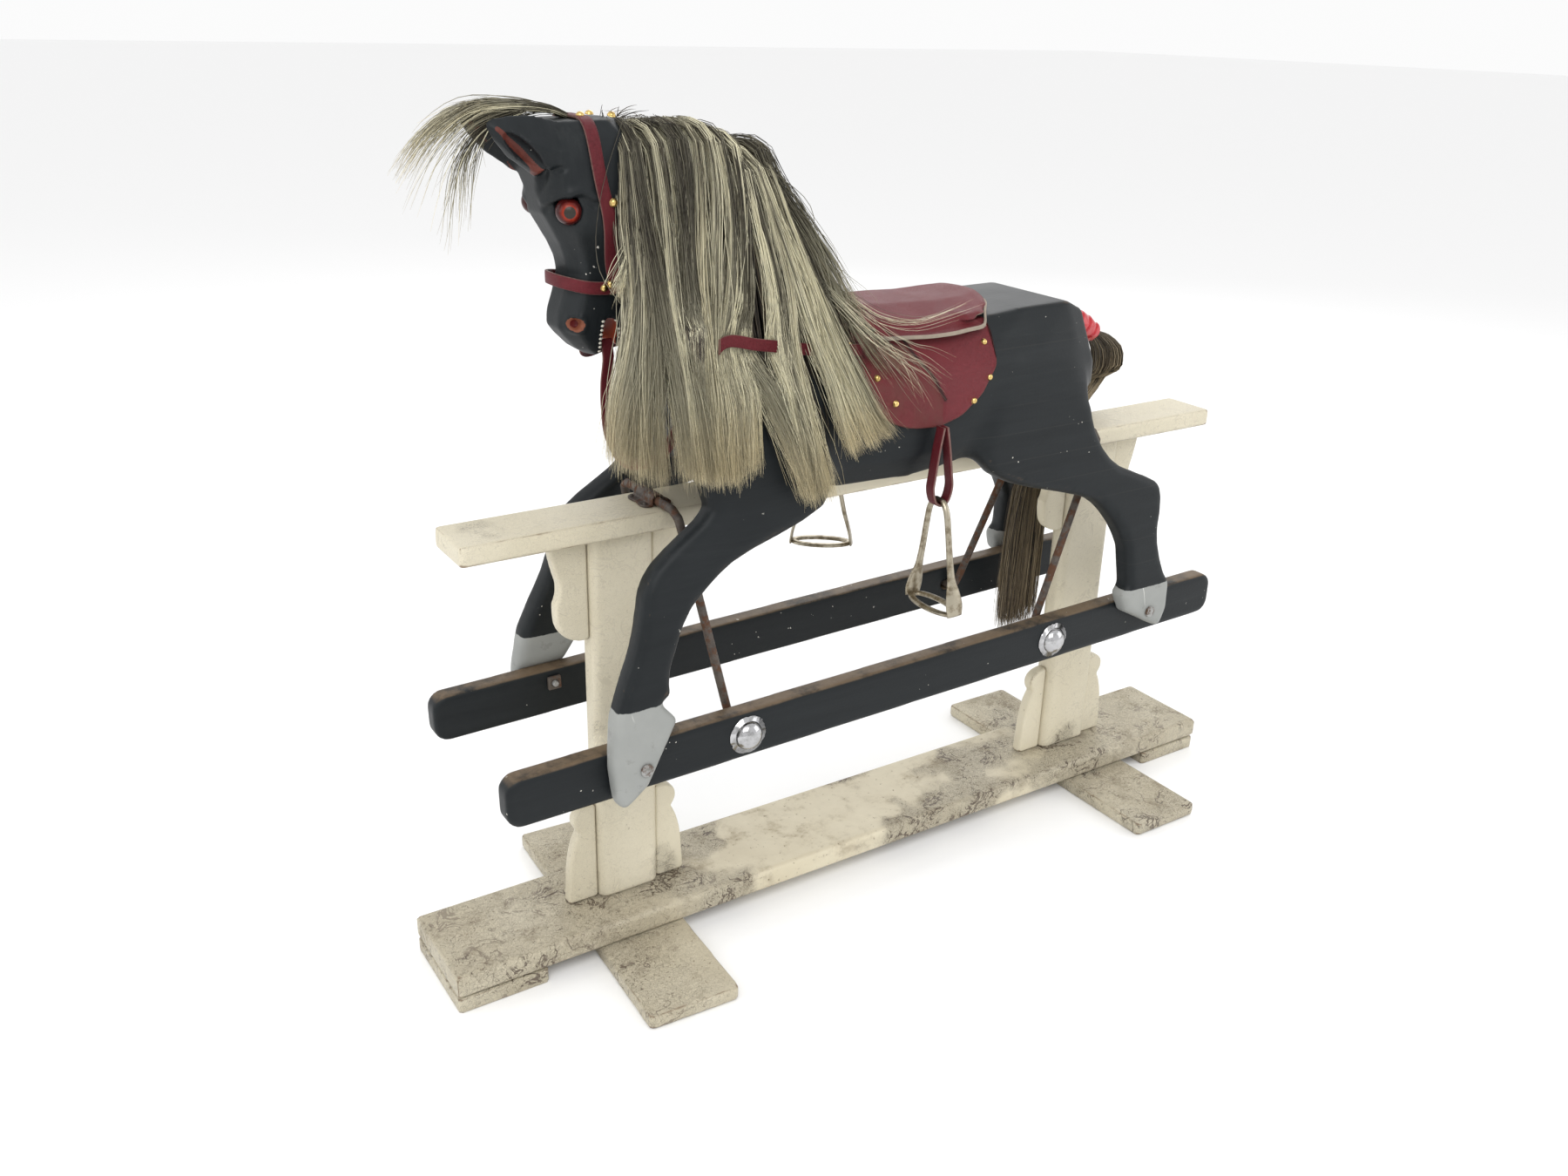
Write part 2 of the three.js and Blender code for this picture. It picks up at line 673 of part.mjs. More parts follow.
// The stirrup leather: a strap doubled into a long loop, nailed under the flap.
function stirrupLeather(side, turn) {
  const drop = [[-2.6, LOOP.top], [-8, 640], [-13, 606], [-LOOP.half, 588], [-10, 571], [0, LOOP.low]];
  const up = drop.slice(0, -1).reverse().map(([x, z]) => [-x, z]);
  const path = new THREE.CatmullRomCurve3([...drop, ...up].map(([x, z]) => new THREE.Vector3(x, 0, z)));
  return strap(path, LOOP.width, LOOP.thick, widthAlongY, 26)
    .rotateZ(turn)
    .translate(STIRRUP_X, side * LOOP.y, 0);
}

const STIRRUP = { height: 150, half: 44, bar: 3.4, plate: 15 };

// The stirrup iron: an arched bow with a ring-shaped foot plate, drawn in its own (y, z) plane.
function stirrupIron() {
  const top = LOOP.low + LOOP.thick / 2 + STIRRUP.bar + 3 * GAP;
  const low = top - STIRRUP.height;
  const half = [[0, 0], [10, 0], [19, -16], [28, -56], [39, -106], [STIRRUP.half, -STIRRUP.height + 4]];
  const bow = [...half.slice(1).reverse().map(([y, z]) => [-y, z]), ...half]
    .map(([y, z]) => new THREE.Vector3(0, y, top + z));
  const section = new THREE.Shape().absarc(0, 0, STIRRUP.bar, 0, 2 * Math.PI);
  const arch = new THREE.ExtrudeGeometry(section, {
    steps: 28,
    curveSegments: 3,
    extrudePath: new THREE.CatmullRomCurve3(bow),
    bevelEnabled: false,
  });
  const rim = new THREE.Shape().absellipse(0, 0, STIRRUP.plate + 6, STIRRUP.half + 5, 0, 2 * Math.PI);
  rim.holes.push(new THREE.Path().absellipse(0, 0, STIRRUP.plate - 3, STIRRUP.half - 8, 0, 2 * Math.PI));
  const plate = new THREE.ExtrudeGeometry(rim, { depth: 6, bevelEnabled: false, curveSegments: 9 });
  return join(arch, plate.translate(0, 0, low - 1));
}

function placedStirrup(side, turn) {
  return stirrupIron().rotateZ(turn).translate(STIRRUP_X, side * LOOP.y, 0);
}

// ---------------------------------------------------------------- bridle

const STRAP_THICK = 3.2;
const NOSEBAND = { x: -425, z: 870, width: 14, tilt: 0.2, proud: 12 };

// The slice of space that the noseband lies in, dipping towards the jaw.
function nosebandSlice(grow = 0) {
  const half = NOSEBAND.width / 2 + grow;
  return box(-120, 120, -100, 100, -half, half)
    .rotateY(NOSEBAND.tilt)
    .translate(NOSEBAND.x, 0, NOSEBAND.z);
}

function noseband() {
  const outer = common(headBlock(STRAP_THICK, NOSEBAND.proud), nosebandSlice());
  return subtract(outer, headBlock(GAP, NOSEBAND.proud - STRAP_THICK), neckBlock(GAP));
}

// Cheek pieces and crown piece in one: up one side of the head, over the poll, down the other.
function headpiece() {
  const front = [[-394, NOSEBAND.z - NOSEBAND.width], [-401, 905], [-408, 945], [-415, 1020], [-418, 1060]];
  const width = 15;
  const shape = outline([...front, ...front.map(([x, z]) => [x + width, z]).reverse()].reverse());
  const band = board(shape, 200);
  const over = common(headBlock(STRAP_THICK), band);
  return subtract(
    over, headBlock(GAP), ear(-1), ear(1), neckBlock(GAP), nosebandSlice(GAP),
    box(-700, -300, -100, 100, 700, NOSEBAND.z),
  );
}

// A rein on each side, from the corner of the mouth to the front of the saddle.
// The left one hangs slack down the front of the mane. The right one lies along the neck.
const REIN = { width: 14, thick: 2.6, steps: 44 };
const LEFT_REIN = [
  [-396, -24, 806], [-398, -32, 786], [-408, -45, 762], [-413, -54, 736], [-414, -64, 705], [-404, -84, 680],
  [-378, -108, 688], [-350, -112, 728], [-322, -108, 772], [-288, -99, 803], [-241, -99, 795],
  [-167, -103, 781], [-98, -101, 772],
];
const RIGHT_REIN = [
  [-396, 24, 806], [-396, 34, 786], [-382, 54, 774], [-340, 74, 776], [-290, 88, 778], [-220, 100, 786],
  [-160, 104, 783], [-98, 101, 772],
];

function reinPath(side) {
  const points = side < 0 ? LEFT_REIN : RIGHT_REIN;
  return new THREE.CatmullRomCurve3(points.map(([x, y, z]) => new THREE.Vector3(x, y, z)));
}

function rein(side) {
  const strip = strap(reinPath(side), REIN.width, REIN.thick, flatAgainstSide, REIN.steps);
  return subtract(strip, headBlock(GAP), barrel(FLAP.thick + GAP));
}

// ---------------------------------------------------------------- hair

// The mane falls on the left: a leaning slab that covers the crest, neck and shoulder.
function mane() {
  const shape = outline([
    [-376, 1042], [-367, 960], [-364, 826], [-396, 790], [-428, 700], [-426, 652], [-360, 636],
    [-250, 628], [-170, 610], [-90, 662], [-120, 760], [-150, 880], [-196, 962], [-262, 1020], [-330, 1046],
  ]);
  const lean = 0.262;
  const legSpace = splayedBoard(frontLegShape(), 1);
  const reinSpace = strap(reinPath(-1), REIN.width + 4, REIN.thick + 4, flatAgainstSide, REIN.steps);
  const slabOfHair = board(shape, 26, 6)
    .translate(0, 0, -1040)
    .rotateX(-lean)
    .translate(0, -16, 1040);
  return subtract(
    slabOfHair, neckBlock(1), headBlock(5), barrel(1), saddleSpace(), legSpace, reinSpace,
  );
}

function saddleSpace() {
  return box(-122, 200, -140, 140, 655, 860);
}

// The forelock springs from between the ears and arches forward.
function forelock() {
  const shape = outline([
    [-436, 1048], [-487, 1050], [-532, 1045], [-570, 1023], [-602, 986],
    [-610, 990], [-584, 1030], [-538, 1058], [-487, 1063], [-424, 1056], [-404, 1046],
  ].reverse());
  return board(shape, 28, 3);
}

// The tail: bound at the root, bulging, laid over the rail and hanging on its right side.
function tail() {
  const stations = [
    // x, y, z, half depth along X, half width along Y
    [386, 1, 715, 15, 15],
    [404, 3, 700, 20, 19],
    [418, 9, 682, 24, 21],
    [424, 20, 650, 26, 22],
    [414, 38, 616, 26, 17],
    [396, 55, 580, 27, 10],
    [368, 56, 530, 32, 10],
    [350, 58, 470, 38, 11],
    [345, 60, 380, 40, 12],
    [342, 60, 300, 41, 12],
    [340, 60, 246, 34, 9],
  ];
  return loft(stations.map(([x, y, z, depth, width], i) => {
    const before = stations[Math.max(i - 1, 0)];
    const after = stations[Math.min(i + 1, stations.length - 1)];
    const along = new THREE.Vector3(after[0] - before[0], after[1] - before[1], after[2] - before[2]).normalize();
    const side = new THREE.Vector3(0, 1, 0).addScaledVector(along, -along.y).normalize();
    const out = new THREE.Vector3().crossVectors(side, along).normalize();
    const ring = [];
    for (let k = 0; k < 10; k += 1) {
      const angle = k * Math.PI / 5;
      ring.push(new THREE.Vector3(x, y, z)
        .addScaledVector(out, depth * Math.cos(angle))
        .addScaledVector(side, width * Math.sin(angle)));
    }
    return ring;
  }));
}

// The bound dock between the rump and the loose hair.
function tailRibbon() {
  const from = new THREE.Vector3(315, 0, 748);
  const to = new THREE.Vector3(380, 0, 721);
  const along = new THREE.Vector3().subVectors(to, from);
  const dock = new THREE.CylinderGeometry(14, 16, along.length(), 14);
  dock.applyQuaternion(new THREE.Quaternion()
    .setFromUnitVectors(new THREE.Vector3(0, 1, 0), along.clone().normalize()));
  return dock.translate((from.x + to.x) / 2, 0, (from.z + to.z) / 2);
}

// ---------------------------------------------------------------- assembly

const stand = new THREE.Group();
stand.add(
  piece('base_plank', basePlank(), CREAM),
  piece('front_cross_foot', crossFoot(FRONT_FOOT), CREAM),
  piece('rear_cross_foot', crossFoot(REAR_FOOT), CREAM),
  piece('front_end_block', endBlock(-1), CREAM),
  piece('rear_end_block', endBlock(1), CREAM),
  piece('front_post', post(FRONT_POST), CREAM),
  piece('rear_post', post(REAR_POST), CREAM),
  piece('top_rail', topRail(), CREAM),
);
for (const [end, place] of [['front', FRONT_POST], ['rear', REAR_POST]]) {
  for (const [face, side] of [['outer', place.centre < 0 ? -1 : 1], ['inner', place.centre < 0 ? 1 : -1]]) {
    const upper = bracket(upperBracketShape(), place, side, railBottom - GAP);
    const lower = bracket(lowerBracketShape(), place, side, plankTop + GAP);
    stand.add(piece(`${end}_post_${face}_upper_bracket`, upper, CREAM));
    stand.add(piece(`${end}_post_${face}_lower_bracket`, lower, CREAM));
  }
}
for (const [end, x] of [['front', -TOP_PIVOT_X], ['rear', TOP_PIVOT_X]]) {
  stand.add(piece(`${end}_iron_bearing`, ironBearing(x), RUSTY_STEEL));
}

const irons = new THREE.Group();
irons.add(
  piece('front_swing_iron', swingIron(-TOP_PIVOT_X, FRONT_LOW_PIVOT_X), RUSTY_STEEL),
  piece('rear_swing_iron', swingIron(TOP_PIVOT_X, REAR_LOW_PIVOT_X), RUSTY_STEEL),
);

const horse = new THREE.Group();
horse.position.copy(horsePivot).negate();
horse.add(
  piece('torso', barrel(), CHARCOAL),
  piece('neck', subtract(neckBlock(), barrel(GAP), headBlock(GAP)), CHARCOAL),
  piece('head', head(), CHARCOAL),
  piece('saddle_seat', saddleSeat(), LEATHER),
  piece('noseband', noseband(), LEATHER),
  piece('headpiece', headpiece(), LEATHER),
  piece('mane', mane(), HAIR),
  piece('forelock', forelock(), HAIR),
  piece('tail', tail(), DARK_HAIR),
  piece('tail_ribbon', tailRibbon(), RED_RIBBON),
);
for (const [hand, side, stirrupTurn] of [['left', -1, 0], ['right', 1, 0.9]]) {
  horse.add(
    piece(`${hand}_front_leg`, leg(frontLegShape(), HOOF_BOLT.front, side), CHARCOAL),
    piece(`${hand}_hind_leg`, leg(hindLegShape(), HOOF_BOLT.rear, side), CHARCOAL),
    piece(`${hand}_runner`, runner(side), CHARCOAL),
    piece(`${hand}_eye`, eye(side), AMBER),
    piece(`${hand}_saddle_flap`, saddleFlap(side), LEATHER),
    piece(`${hand}_stirrup_leather`, stirrupLeather(side, stirrupTurn), LEATHER),
    piece(`${hand}_rein`, rein(side), LEATHER),
    piece(`${hand}_stirrup_iron`, placedStirrup(side, stirrupTurn), NICKEL),
  );
  for (const [end, bolt, capX] of [
    ['front', HOOF_BOLT.front, FRONT_LOW_PIVOT_X],
    ['rear', HOOF_BOLT.rear, REAR_LOW_PIVOT_X],
  ]) {
    horse.add(
      piece(`${hand}_${end}_dome_cap`, domeCap(capX, side), CHROME),
      piece(`${hand}_${end}_hoof_bolt`, hoofBolt(bolt, side), RUSTY_STEEL),
      piece(`${hand}_${end}_square_nut`, squareNut(bolt, side), RUSTY_STEEL),
    );
  }
}

const hungHorse = new THREE.Group();
hungHorse.position.copy(horsePivot);
hungHorse.rotation.y = -HORSE_PITCH;
hungHorse.add(horse);

const rockingHorse = new THREE.Group();
rockingHorse.add(stand, irons, hungHorse);

export default rockingHorse;
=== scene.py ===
"""The looks of a carved rocking horse on its swing-iron stand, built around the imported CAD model.

Everything is in metres in the CAD frame: +X towards the tail, +Y to the horse's right, +Z up.
"""

import json
import math

import bmesh
import bpy
import numpy as np
from mathutils import Matrix, Vector
from mathutils.bvhtree import BVHTree


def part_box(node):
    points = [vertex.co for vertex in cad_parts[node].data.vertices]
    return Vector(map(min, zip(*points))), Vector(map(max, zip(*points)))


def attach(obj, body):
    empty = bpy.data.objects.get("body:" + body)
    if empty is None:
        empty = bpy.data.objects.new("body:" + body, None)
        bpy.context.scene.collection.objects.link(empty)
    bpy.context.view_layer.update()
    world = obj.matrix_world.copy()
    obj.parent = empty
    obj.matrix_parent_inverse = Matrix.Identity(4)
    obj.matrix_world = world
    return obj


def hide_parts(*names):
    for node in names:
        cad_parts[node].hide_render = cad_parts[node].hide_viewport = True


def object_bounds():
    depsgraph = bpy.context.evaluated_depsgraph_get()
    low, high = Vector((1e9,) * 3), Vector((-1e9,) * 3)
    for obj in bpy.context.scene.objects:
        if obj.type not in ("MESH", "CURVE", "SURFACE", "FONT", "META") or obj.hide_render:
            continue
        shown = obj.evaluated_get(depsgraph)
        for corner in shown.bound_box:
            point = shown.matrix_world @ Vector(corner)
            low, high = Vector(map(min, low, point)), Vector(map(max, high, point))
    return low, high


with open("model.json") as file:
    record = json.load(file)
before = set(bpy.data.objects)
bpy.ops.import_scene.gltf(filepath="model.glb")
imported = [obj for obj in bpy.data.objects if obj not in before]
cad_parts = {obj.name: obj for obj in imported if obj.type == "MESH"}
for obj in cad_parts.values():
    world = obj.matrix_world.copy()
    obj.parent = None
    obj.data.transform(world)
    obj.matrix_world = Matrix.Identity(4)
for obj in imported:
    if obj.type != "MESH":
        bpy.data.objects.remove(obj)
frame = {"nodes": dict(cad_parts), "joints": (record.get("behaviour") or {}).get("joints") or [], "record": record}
cad_low, cad_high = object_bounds()
nodes = frame["nodes"]
scene = bpy.context.scene
MM = 0.001
SIDES = {"left": -1, "right": 1}      # the sign of y on each side of the horse
rng = np.random.default_rng(7)

# The horse frame is level with the runners; the horse hangs slightly nose down in the row frame.
HORSE_PITCH = 0.02
PIVOT_IN_HORSE = Vector((-0.278, 0, 0.318))
pivot_in_row = Vector(next(j["pos_m"] for j in frame["joints"] if j["name"] == "horse_pitch"))
HORSE_TO_ROW = (
    Matrix.Translation(pivot_in_row)
    @ Matrix.Rotation(-HORSE_PITCH, 4, "Y")
    @ Matrix.Translation(-PIVOT_IN_HORSE)
)


# ---------------------------------------------------------------- camera, light and floor

CAMERA_PLACE = Vector((-1.0631, -1.3876, 1.1389))
CAMERA_FORWARD = Vector((0.50879, 0.76729, -0.39038))
CAMERA_ROLL = 0.027
CAMERA_LENS = 31.24


def make_camera():
    """A camera turned about its own line of sight by CAMERA_ROLL."""
    camera = bpy.data.objects.new("camera", bpy.data.cameras.new("camera"))
    scene.collection.objects.link(camera)
    camera.data.lens = CAMERA_LENS
    camera.data.sensor_width = 36
    level = CAMERA_FORWARD.cross(Vector((0, 0, 1))).normalized()
    upright = level.cross(CAMERA_FORWARD)
    right = math.cos(CAMERA_ROLL) * level + math.sin(CAMERA_ROLL) * upright
    up = math.cos(CAMERA_ROLL) * upright - math.sin(CAMERA_ROLL) * level
    turn = Matrix((right, up, -CAMERA_FORWARD)).transposed()
    camera.matrix_world = Matrix.Translation(CAMERA_PLACE) @ turn.to_4x4()
    scene.camera = camera


def area_light(name, place, size, power):
    """A rectangular light aimed at the middle of the model."""
    light = bpy.data.lights.new(name, "AREA")
    light.shape = "RECTANGLE"
    light.size, light.size_y = size
    light.energy = power
    lamp = bpy.data.objects.new(name, light)
    scene.collection.objects.link(lamp)
    middle = (cad_low + cad_high) / 2
    lamp.location = place
    lamp.rotation_euler = (middle - Vector(place)).to_track_quat("-Z", "Y").to_euler()


def make_studio():
    area_light("key", (-1.6, -2.6, 3.4), (3.0, 2.4), 78)
    area_light("fill", (-3.4, 0.8, 1.8), (2.4, 2.4), 24)
    area_light("back", (2.2, 2.4, 2.8), (2.4, 2.4), 34)
    area_light("side", (2.8, -1.8, 1.4), (2.0, 2.0), 16)
    world = bpy.data.worlds.new("studio")
    world.use_nodes = True
    world.node_tree.nodes["Background"].inputs["Color"].default_value = (1, 1, 1, 1)
    world.node_tree.nodes["Background"].inputs["Strength"].default_value = 0.97
    scene.world = world
    scene.view_settings.view_transform = "Standard"


FLOOR_REACH = 40
FLOOR_GAP = 0.2 * MM


def make_floor():
    """A wide pale floor just under the stand."""
    mesh = bpy.data.meshes.new("floor")
    corners = [(x * FLOOR_REACH, y * FLOOR_REACH, 0) for x, y in ((-1, -1), (1, -1), (1, 1), (-1, 1))]
    mesh.from_pydata(corners, [], [(0, 1, 2, 3)])
    floor = bpy.data.objects.new("floor", mesh)
    floor.location.z = cad_low.z - FLOOR_GAP
    scene.collection.objects.link(floor)
    look = bpy.data.materials.new("floor")
    look.use_nodes = True
    shader = look.node_tree.nodes["Principled BSDF"]
    shader.inputs["Base Color"].default_value = (0.93, 0.93, 0.93, 1)
    shader.inputs["Roughness"].default_value = 0.9
    mesh.materials.append(look)


make_camera()
make_studio()
make_floor()


# ---------------------------------------------------------------- material graphs


class Graph:
    """A material's node tree. Most methods add nodes and give back an output socket."""

    def __init__(self, name):
        self.material = bpy.data.materials.new(name)
        self.material.use_nodes = True
        self.tree = self.material.node_tree
        self.shader = self.tree.nodes["Principled BSDF"]
        self.place = self.add("TexCoord", "Object")

    def feed(self, socket, value):
        if isinstance(value, bpy.types.NodeSocket):
            self.tree.links.new(value, socket)
        elif isinstance(value, tuple) and socket.type == "RGBA":
            socket.default_value = (*value, 1)
        else:
            socket.default_value = value

    def add(self, kind, output, inputs=None, **settings):
        """One node with its settings and inputs."""
        node = self.tree.nodes.new("ShaderNode" + kind)
        for key, value in settings.items():
            setattr(node, key, value)
        for key, value in (inputs or {}).items():
            self.feed(node.inputs[key], value)
        return node.outputs[output]

    def stretched(self, scale):
        return self.add("Mapping", "Vector", {"Vector": self.place, "Scale": scale})

    def noise(self, scale, detail=3, rough=0.5, stretch=(1, 1, 1), warp=0.0):
        return self.add("TexNoise", "Fac", {
            "Vector": self.stretched(stretch),
            "Scale": scale,
            "Detail": detail,
            "Roughness": rough,
            "Distortion": warp,
        })

    def cells(self, scale, wobble, stretch=(1, 1, 1)):
        """Voronoi distance, on coordinates wobbled by noise so that no edge is straight."""
        place = self.stretched(stretch)
        drift = self.add("TexNoise", "Color", {"Vector": place, "Scale": scale * 1.7})
        moved = self.add("VectorMath", "Vector", {0: drift, 1: (wobble,) * 3, 2: place},
                         operation="MULTIPLY_ADD")
        return self.add("TexVoronoi", "Distance", {"Vector": moved, "Scale": scale},
                        feature="DISTANCE_TO_EDGE")

    def attribute(self, name):
        return self.add("Attribute", "Fac", attribute_name=name)

    def axis(self, which):
        return self.add("SeparateXYZ", which, {"Vector": self.place})

    def facing_up(self):
        return self.add("SeparateXYZ", "Z", {"Vector": self.add("NewGeometry", "Normal")})

    def step(self, value, low, high):
        """0 below low, 1 above high, smooth between. low above high turns it over."""
        return self.add("MapRange", "Result", {"Value": value, "From Min": low, "From Max": high},
                        interpolation_type="SMOOTHSTEP")

    def worn(self, noise, weight, low, high):
        """Where paint or leather has rubbed off its edges, in a broken line."""
        return self.step(self.math("ADD", self.attribute("wear"), self.times(noise, weight)), low, high)

    def math(self, operation, a, b=0.0):
        return self.add("Math", "Value", {0: a, 1: b}, operation=operation)

    def times(self, *values):
        product = values[0]
        for value in values[1:]:
            product = self.math("MULTIPLY", product, value)
        return product

    def mix(self, share, a, b):
        """Colour a, turning to b as share goes from 0 to 1. 6 and 7 are the node's colour inputs."""
        return self.add("Mix", 2, {"Factor": share, 6: a, 7: b}, data_type="RGBA")

    def bump(self, height, depth):
        """Relief added to any that the shader has already."""
        normal = self.shader.inputs["Normal"]
        inputs = {"Height": height, "Distance": depth, "Strength": 1.0}
        if normal.is_linked:
            inputs["Normal"] = normal.links[0].from_socket
        self.feed(normal, self.add("Bump", "Normal", inputs))

    def set(self, **values):
        for key, value in values.items():
            self.feed(self.shader.inputs[key.replace("_", " ")], value)


# ---------------------------------------------------------------- painted wood

BARE_WOOD = (0.17, 0.095, 0.045)
GRIME = (0.135, 0.088, 0.048)
BOARD_HEIGHT = 36.5 * MM      # the boards that the torso is laid up from


def cream_paint(name, dirt):
    """Old cream gloss. dirt is how far brown grime and crackle cover it."""
    g = Graph(name)
    tint = g.mix(g.noise(7, 4), (0.64, 0.58, 0.42), (0.78, 0.73, 0.59))
    patches = g.noise(19, 8, 0.72)
    near_ends = g.step(g.math("ABSOLUTE", g.axis("X")), 0.25, 0.45)
    crackle_zone = g.step(g.noise(8, 4), 0.72 - 0.22 * dirt, 0.84 - 0.22 * dirt)
    crackle_zone = g.math("MINIMUM", g.math("ADD", crackle_zone, g.times(near_ends, 0.75 * dirt)), 1.0)
    fine = g.step(g.cells(60, wobble=0.35), 0.050, 0.015)
    coarse = g.step(g.cells(24, wobble=0.3), 0.026, 0.008)
    ridge = g.math("ABSOLUTE", g.math("SUBTRACT", g.noise(26, 4, 0.62, warp=0.9), 0.5))
    strokes = g.times(g.step(ridge, 0.026, 0.012), g.step(g.noise(17, 3), 0.50, 0.56))
    cracks = g.times(g.math("MAXIMUM", g.math("MAXIMUM", fine, coarse), strokes), crackle_zone)
    top = g.step(g.facing_up(), 0.4, 0.9)
    grime_low = 0.71 - 0.22 * dirt
    grime = g.math("ADD", g.step(patches, grime_low, grime_low + 0.2), g.times(top, 0.22 * dirt))
    specks = g.step(g.noise(150, 3, 0.6), 0.70 - 0.06 * dirt, 0.78 - 0.06 * dirt)
    tint = g.mix(g.times(g.noise(12, 4, 0.6), 0.65 * dirt), tint, (0.38, 0.31, 0.19))
    dirty = g.mix(g.times(grime, 0.30 + 0.40 * dirt, g.noise(60, 4, 0.7)), tint, GRIME)
    speckled = g.mix(g.times(specks, 0.35 + 0.4 * dirt), dirty, GRIME)
    cracked = g.mix(g.times(cracks, 0.9), speckled, (0.07, 0.045, 0.03))
    edge = g.worn(g.noise(30, 5, 0.7), 0.6, 0.62, 0.85)
    worn = g.mix(g.times(edge, 0.75), cracked, BARE_WOOD)
    red = g.step(g.noise(34, 5, 0.75), 0.735, 0.75)
    g.set(Base_Color=g.mix(g.times(red, edge), worn, (0.35, 0.02, 0.02)))
    g.set(Roughness=g.math("ADD", 0.42, g.times(grime, 0.3)))
    g.bump(g.noise(26, 5, 0.6, stretch=(0.25, 1, 1)), 0.6 * MM)
    g.bump(g.math("SUBTRACT", 1.0, g.math("MAXIMUM", cracks, g.times(specks, 0.5))), 0.5 * MM)
    return g.material


def charcoal_paint(name, grain=(0.12, 1, 1), hooves=False, boards=False, dusty=0.0, trimmed=False):
    """Satin charcoal over wood. hooves paints the legs' ends pale grey, boards shows faint joints
    on the flank, and trimmed paints the ears, mouth and nostrils."""
    g = Graph(name)
    g.set(Specular_IOR_Level=0.22)
    streaks = g.noise(60, 5, 0.65, stretch=grain)
    cloud = g.noise(8, 3)
    paint = g.mix(g.times(streaks, cloud), (0.0045, 0.0062, 0.0075), (0.019, 0.023, 0.025))
    smears = g.step(g.noise(19, 6, 0.68, stretch=grain), 0.56, 0.80)
    paint = g.mix(g.times(smears, 0.35), paint, (0.040, 0.043, 0.042))
    if boards:
        level = g.math("MULTIPLY", g.axis("Z"), 1 / BOARD_HEIGHT)
        seam = g.math("ABSOLUTE", g.math("SUBTRACT", g.math("FRACT", level), 0.5))
        line = g.times(g.step(seam, 0.035, 0.0), g.step(g.noise(12, 3, stretch=(0.3, 1, 1)), 0.42, 0.6))
        on_flank = g.step(g.axis("X"), 0.02, 0.10)
        paint = g.mix(g.times(line, on_flank, 0.15), paint, (0.050, 0.046, 0.040))
    if dusty:
        top = g.step(g.facing_up(), 0.55, 0.95)
        dust = g.times(top, g.step(g.noise(22, 6, 0.7), 0.24, 0.58), dusty)
        paint = g.mix(dust, paint, g.mix(g.noise(70, 5, 0.7), (0.10, 0.065, 0.038), (0.21, 0.155, 0.10)))
    edge = g.worn(g.noise(38, 6, 0.7, stretch=grain), 0.7, 0.86, 1.12)
    paint = g.mix(g.times(edge, 0.5), paint, (0.070, 0.045, 0.028))
    chips = g.times(g.step(g.noise(170, 2, 0.4), 0.745, 0.76), g.step(g.noise(14, 3), 0.55, 0.62))
    paint = g.mix(g.times(chips, 0.85), paint, (0.62, 0.60, 0.54))
    if hooves:
        ragged = g.math("ADD", g.attribute("above_hoof"), g.times(g.noise(120, 3), 3.0))
        hoof = g.step(ragged, 2.2, 1.2)
        scuffs = g.step(g.noise(55, 5, 0.7), 0.58, 0.66)
        grey = g.mix(g.noise(20, 4), (0.22, 0.23, 0.22), (0.33, 0.335, 0.32))
        grey = g.mix(g.times(scuffs, 0.22), grey, (0.10, 0.095, 0.085))
        scratch = g.step(g.cells(14, wobble=0.1, stretch=(1, 1, 0.25)), 0.010, 0.004)
        grey = g.mix(g.times(scratch, g.step(g.noise(9, 2), 0.56, 0.60)), grey, (0.74, 0.73, 0.70))
        paint = g.mix(hoof, paint, grey)
    if trimmed:
        flesh = g.mix(g.noise(130, 5, 0.7), (0.04, 0.010, 0.008), (0.15, 0.038, 0.026))
        paint = g.mix(g.step(g.attribute("flesh"), 0.48, 0.72), paint, flesh)
        paint = g.mix(g.step(g.attribute("mouth"), 0.4, 0.6), paint, (0.30, 0.045, 0.012))
        ring = g.mix(g.noise(200, 3), (0.10, 0.028, 0.014), (0.22, 0.075, 0.04))
        paint = g.mix(g.step(g.attribute("nostril"), 0.35, 0.55), paint, ring)
        paint = g.mix(g.step(g.attribute("pit"), 0.4, 0.6), paint, (0.075, 0.004, 0.004))
    g.set(Base_Color=paint)
    g.set(Roughness=g.math("ADD", 0.34, g.times(cloud, 0.24)))
    g.bump(streaks, 0.35 * MM)
    g.bump(g.noise(230, 2), 0.12 * MM)
    return g.material


# ---------------------------------------------------------------- other materials


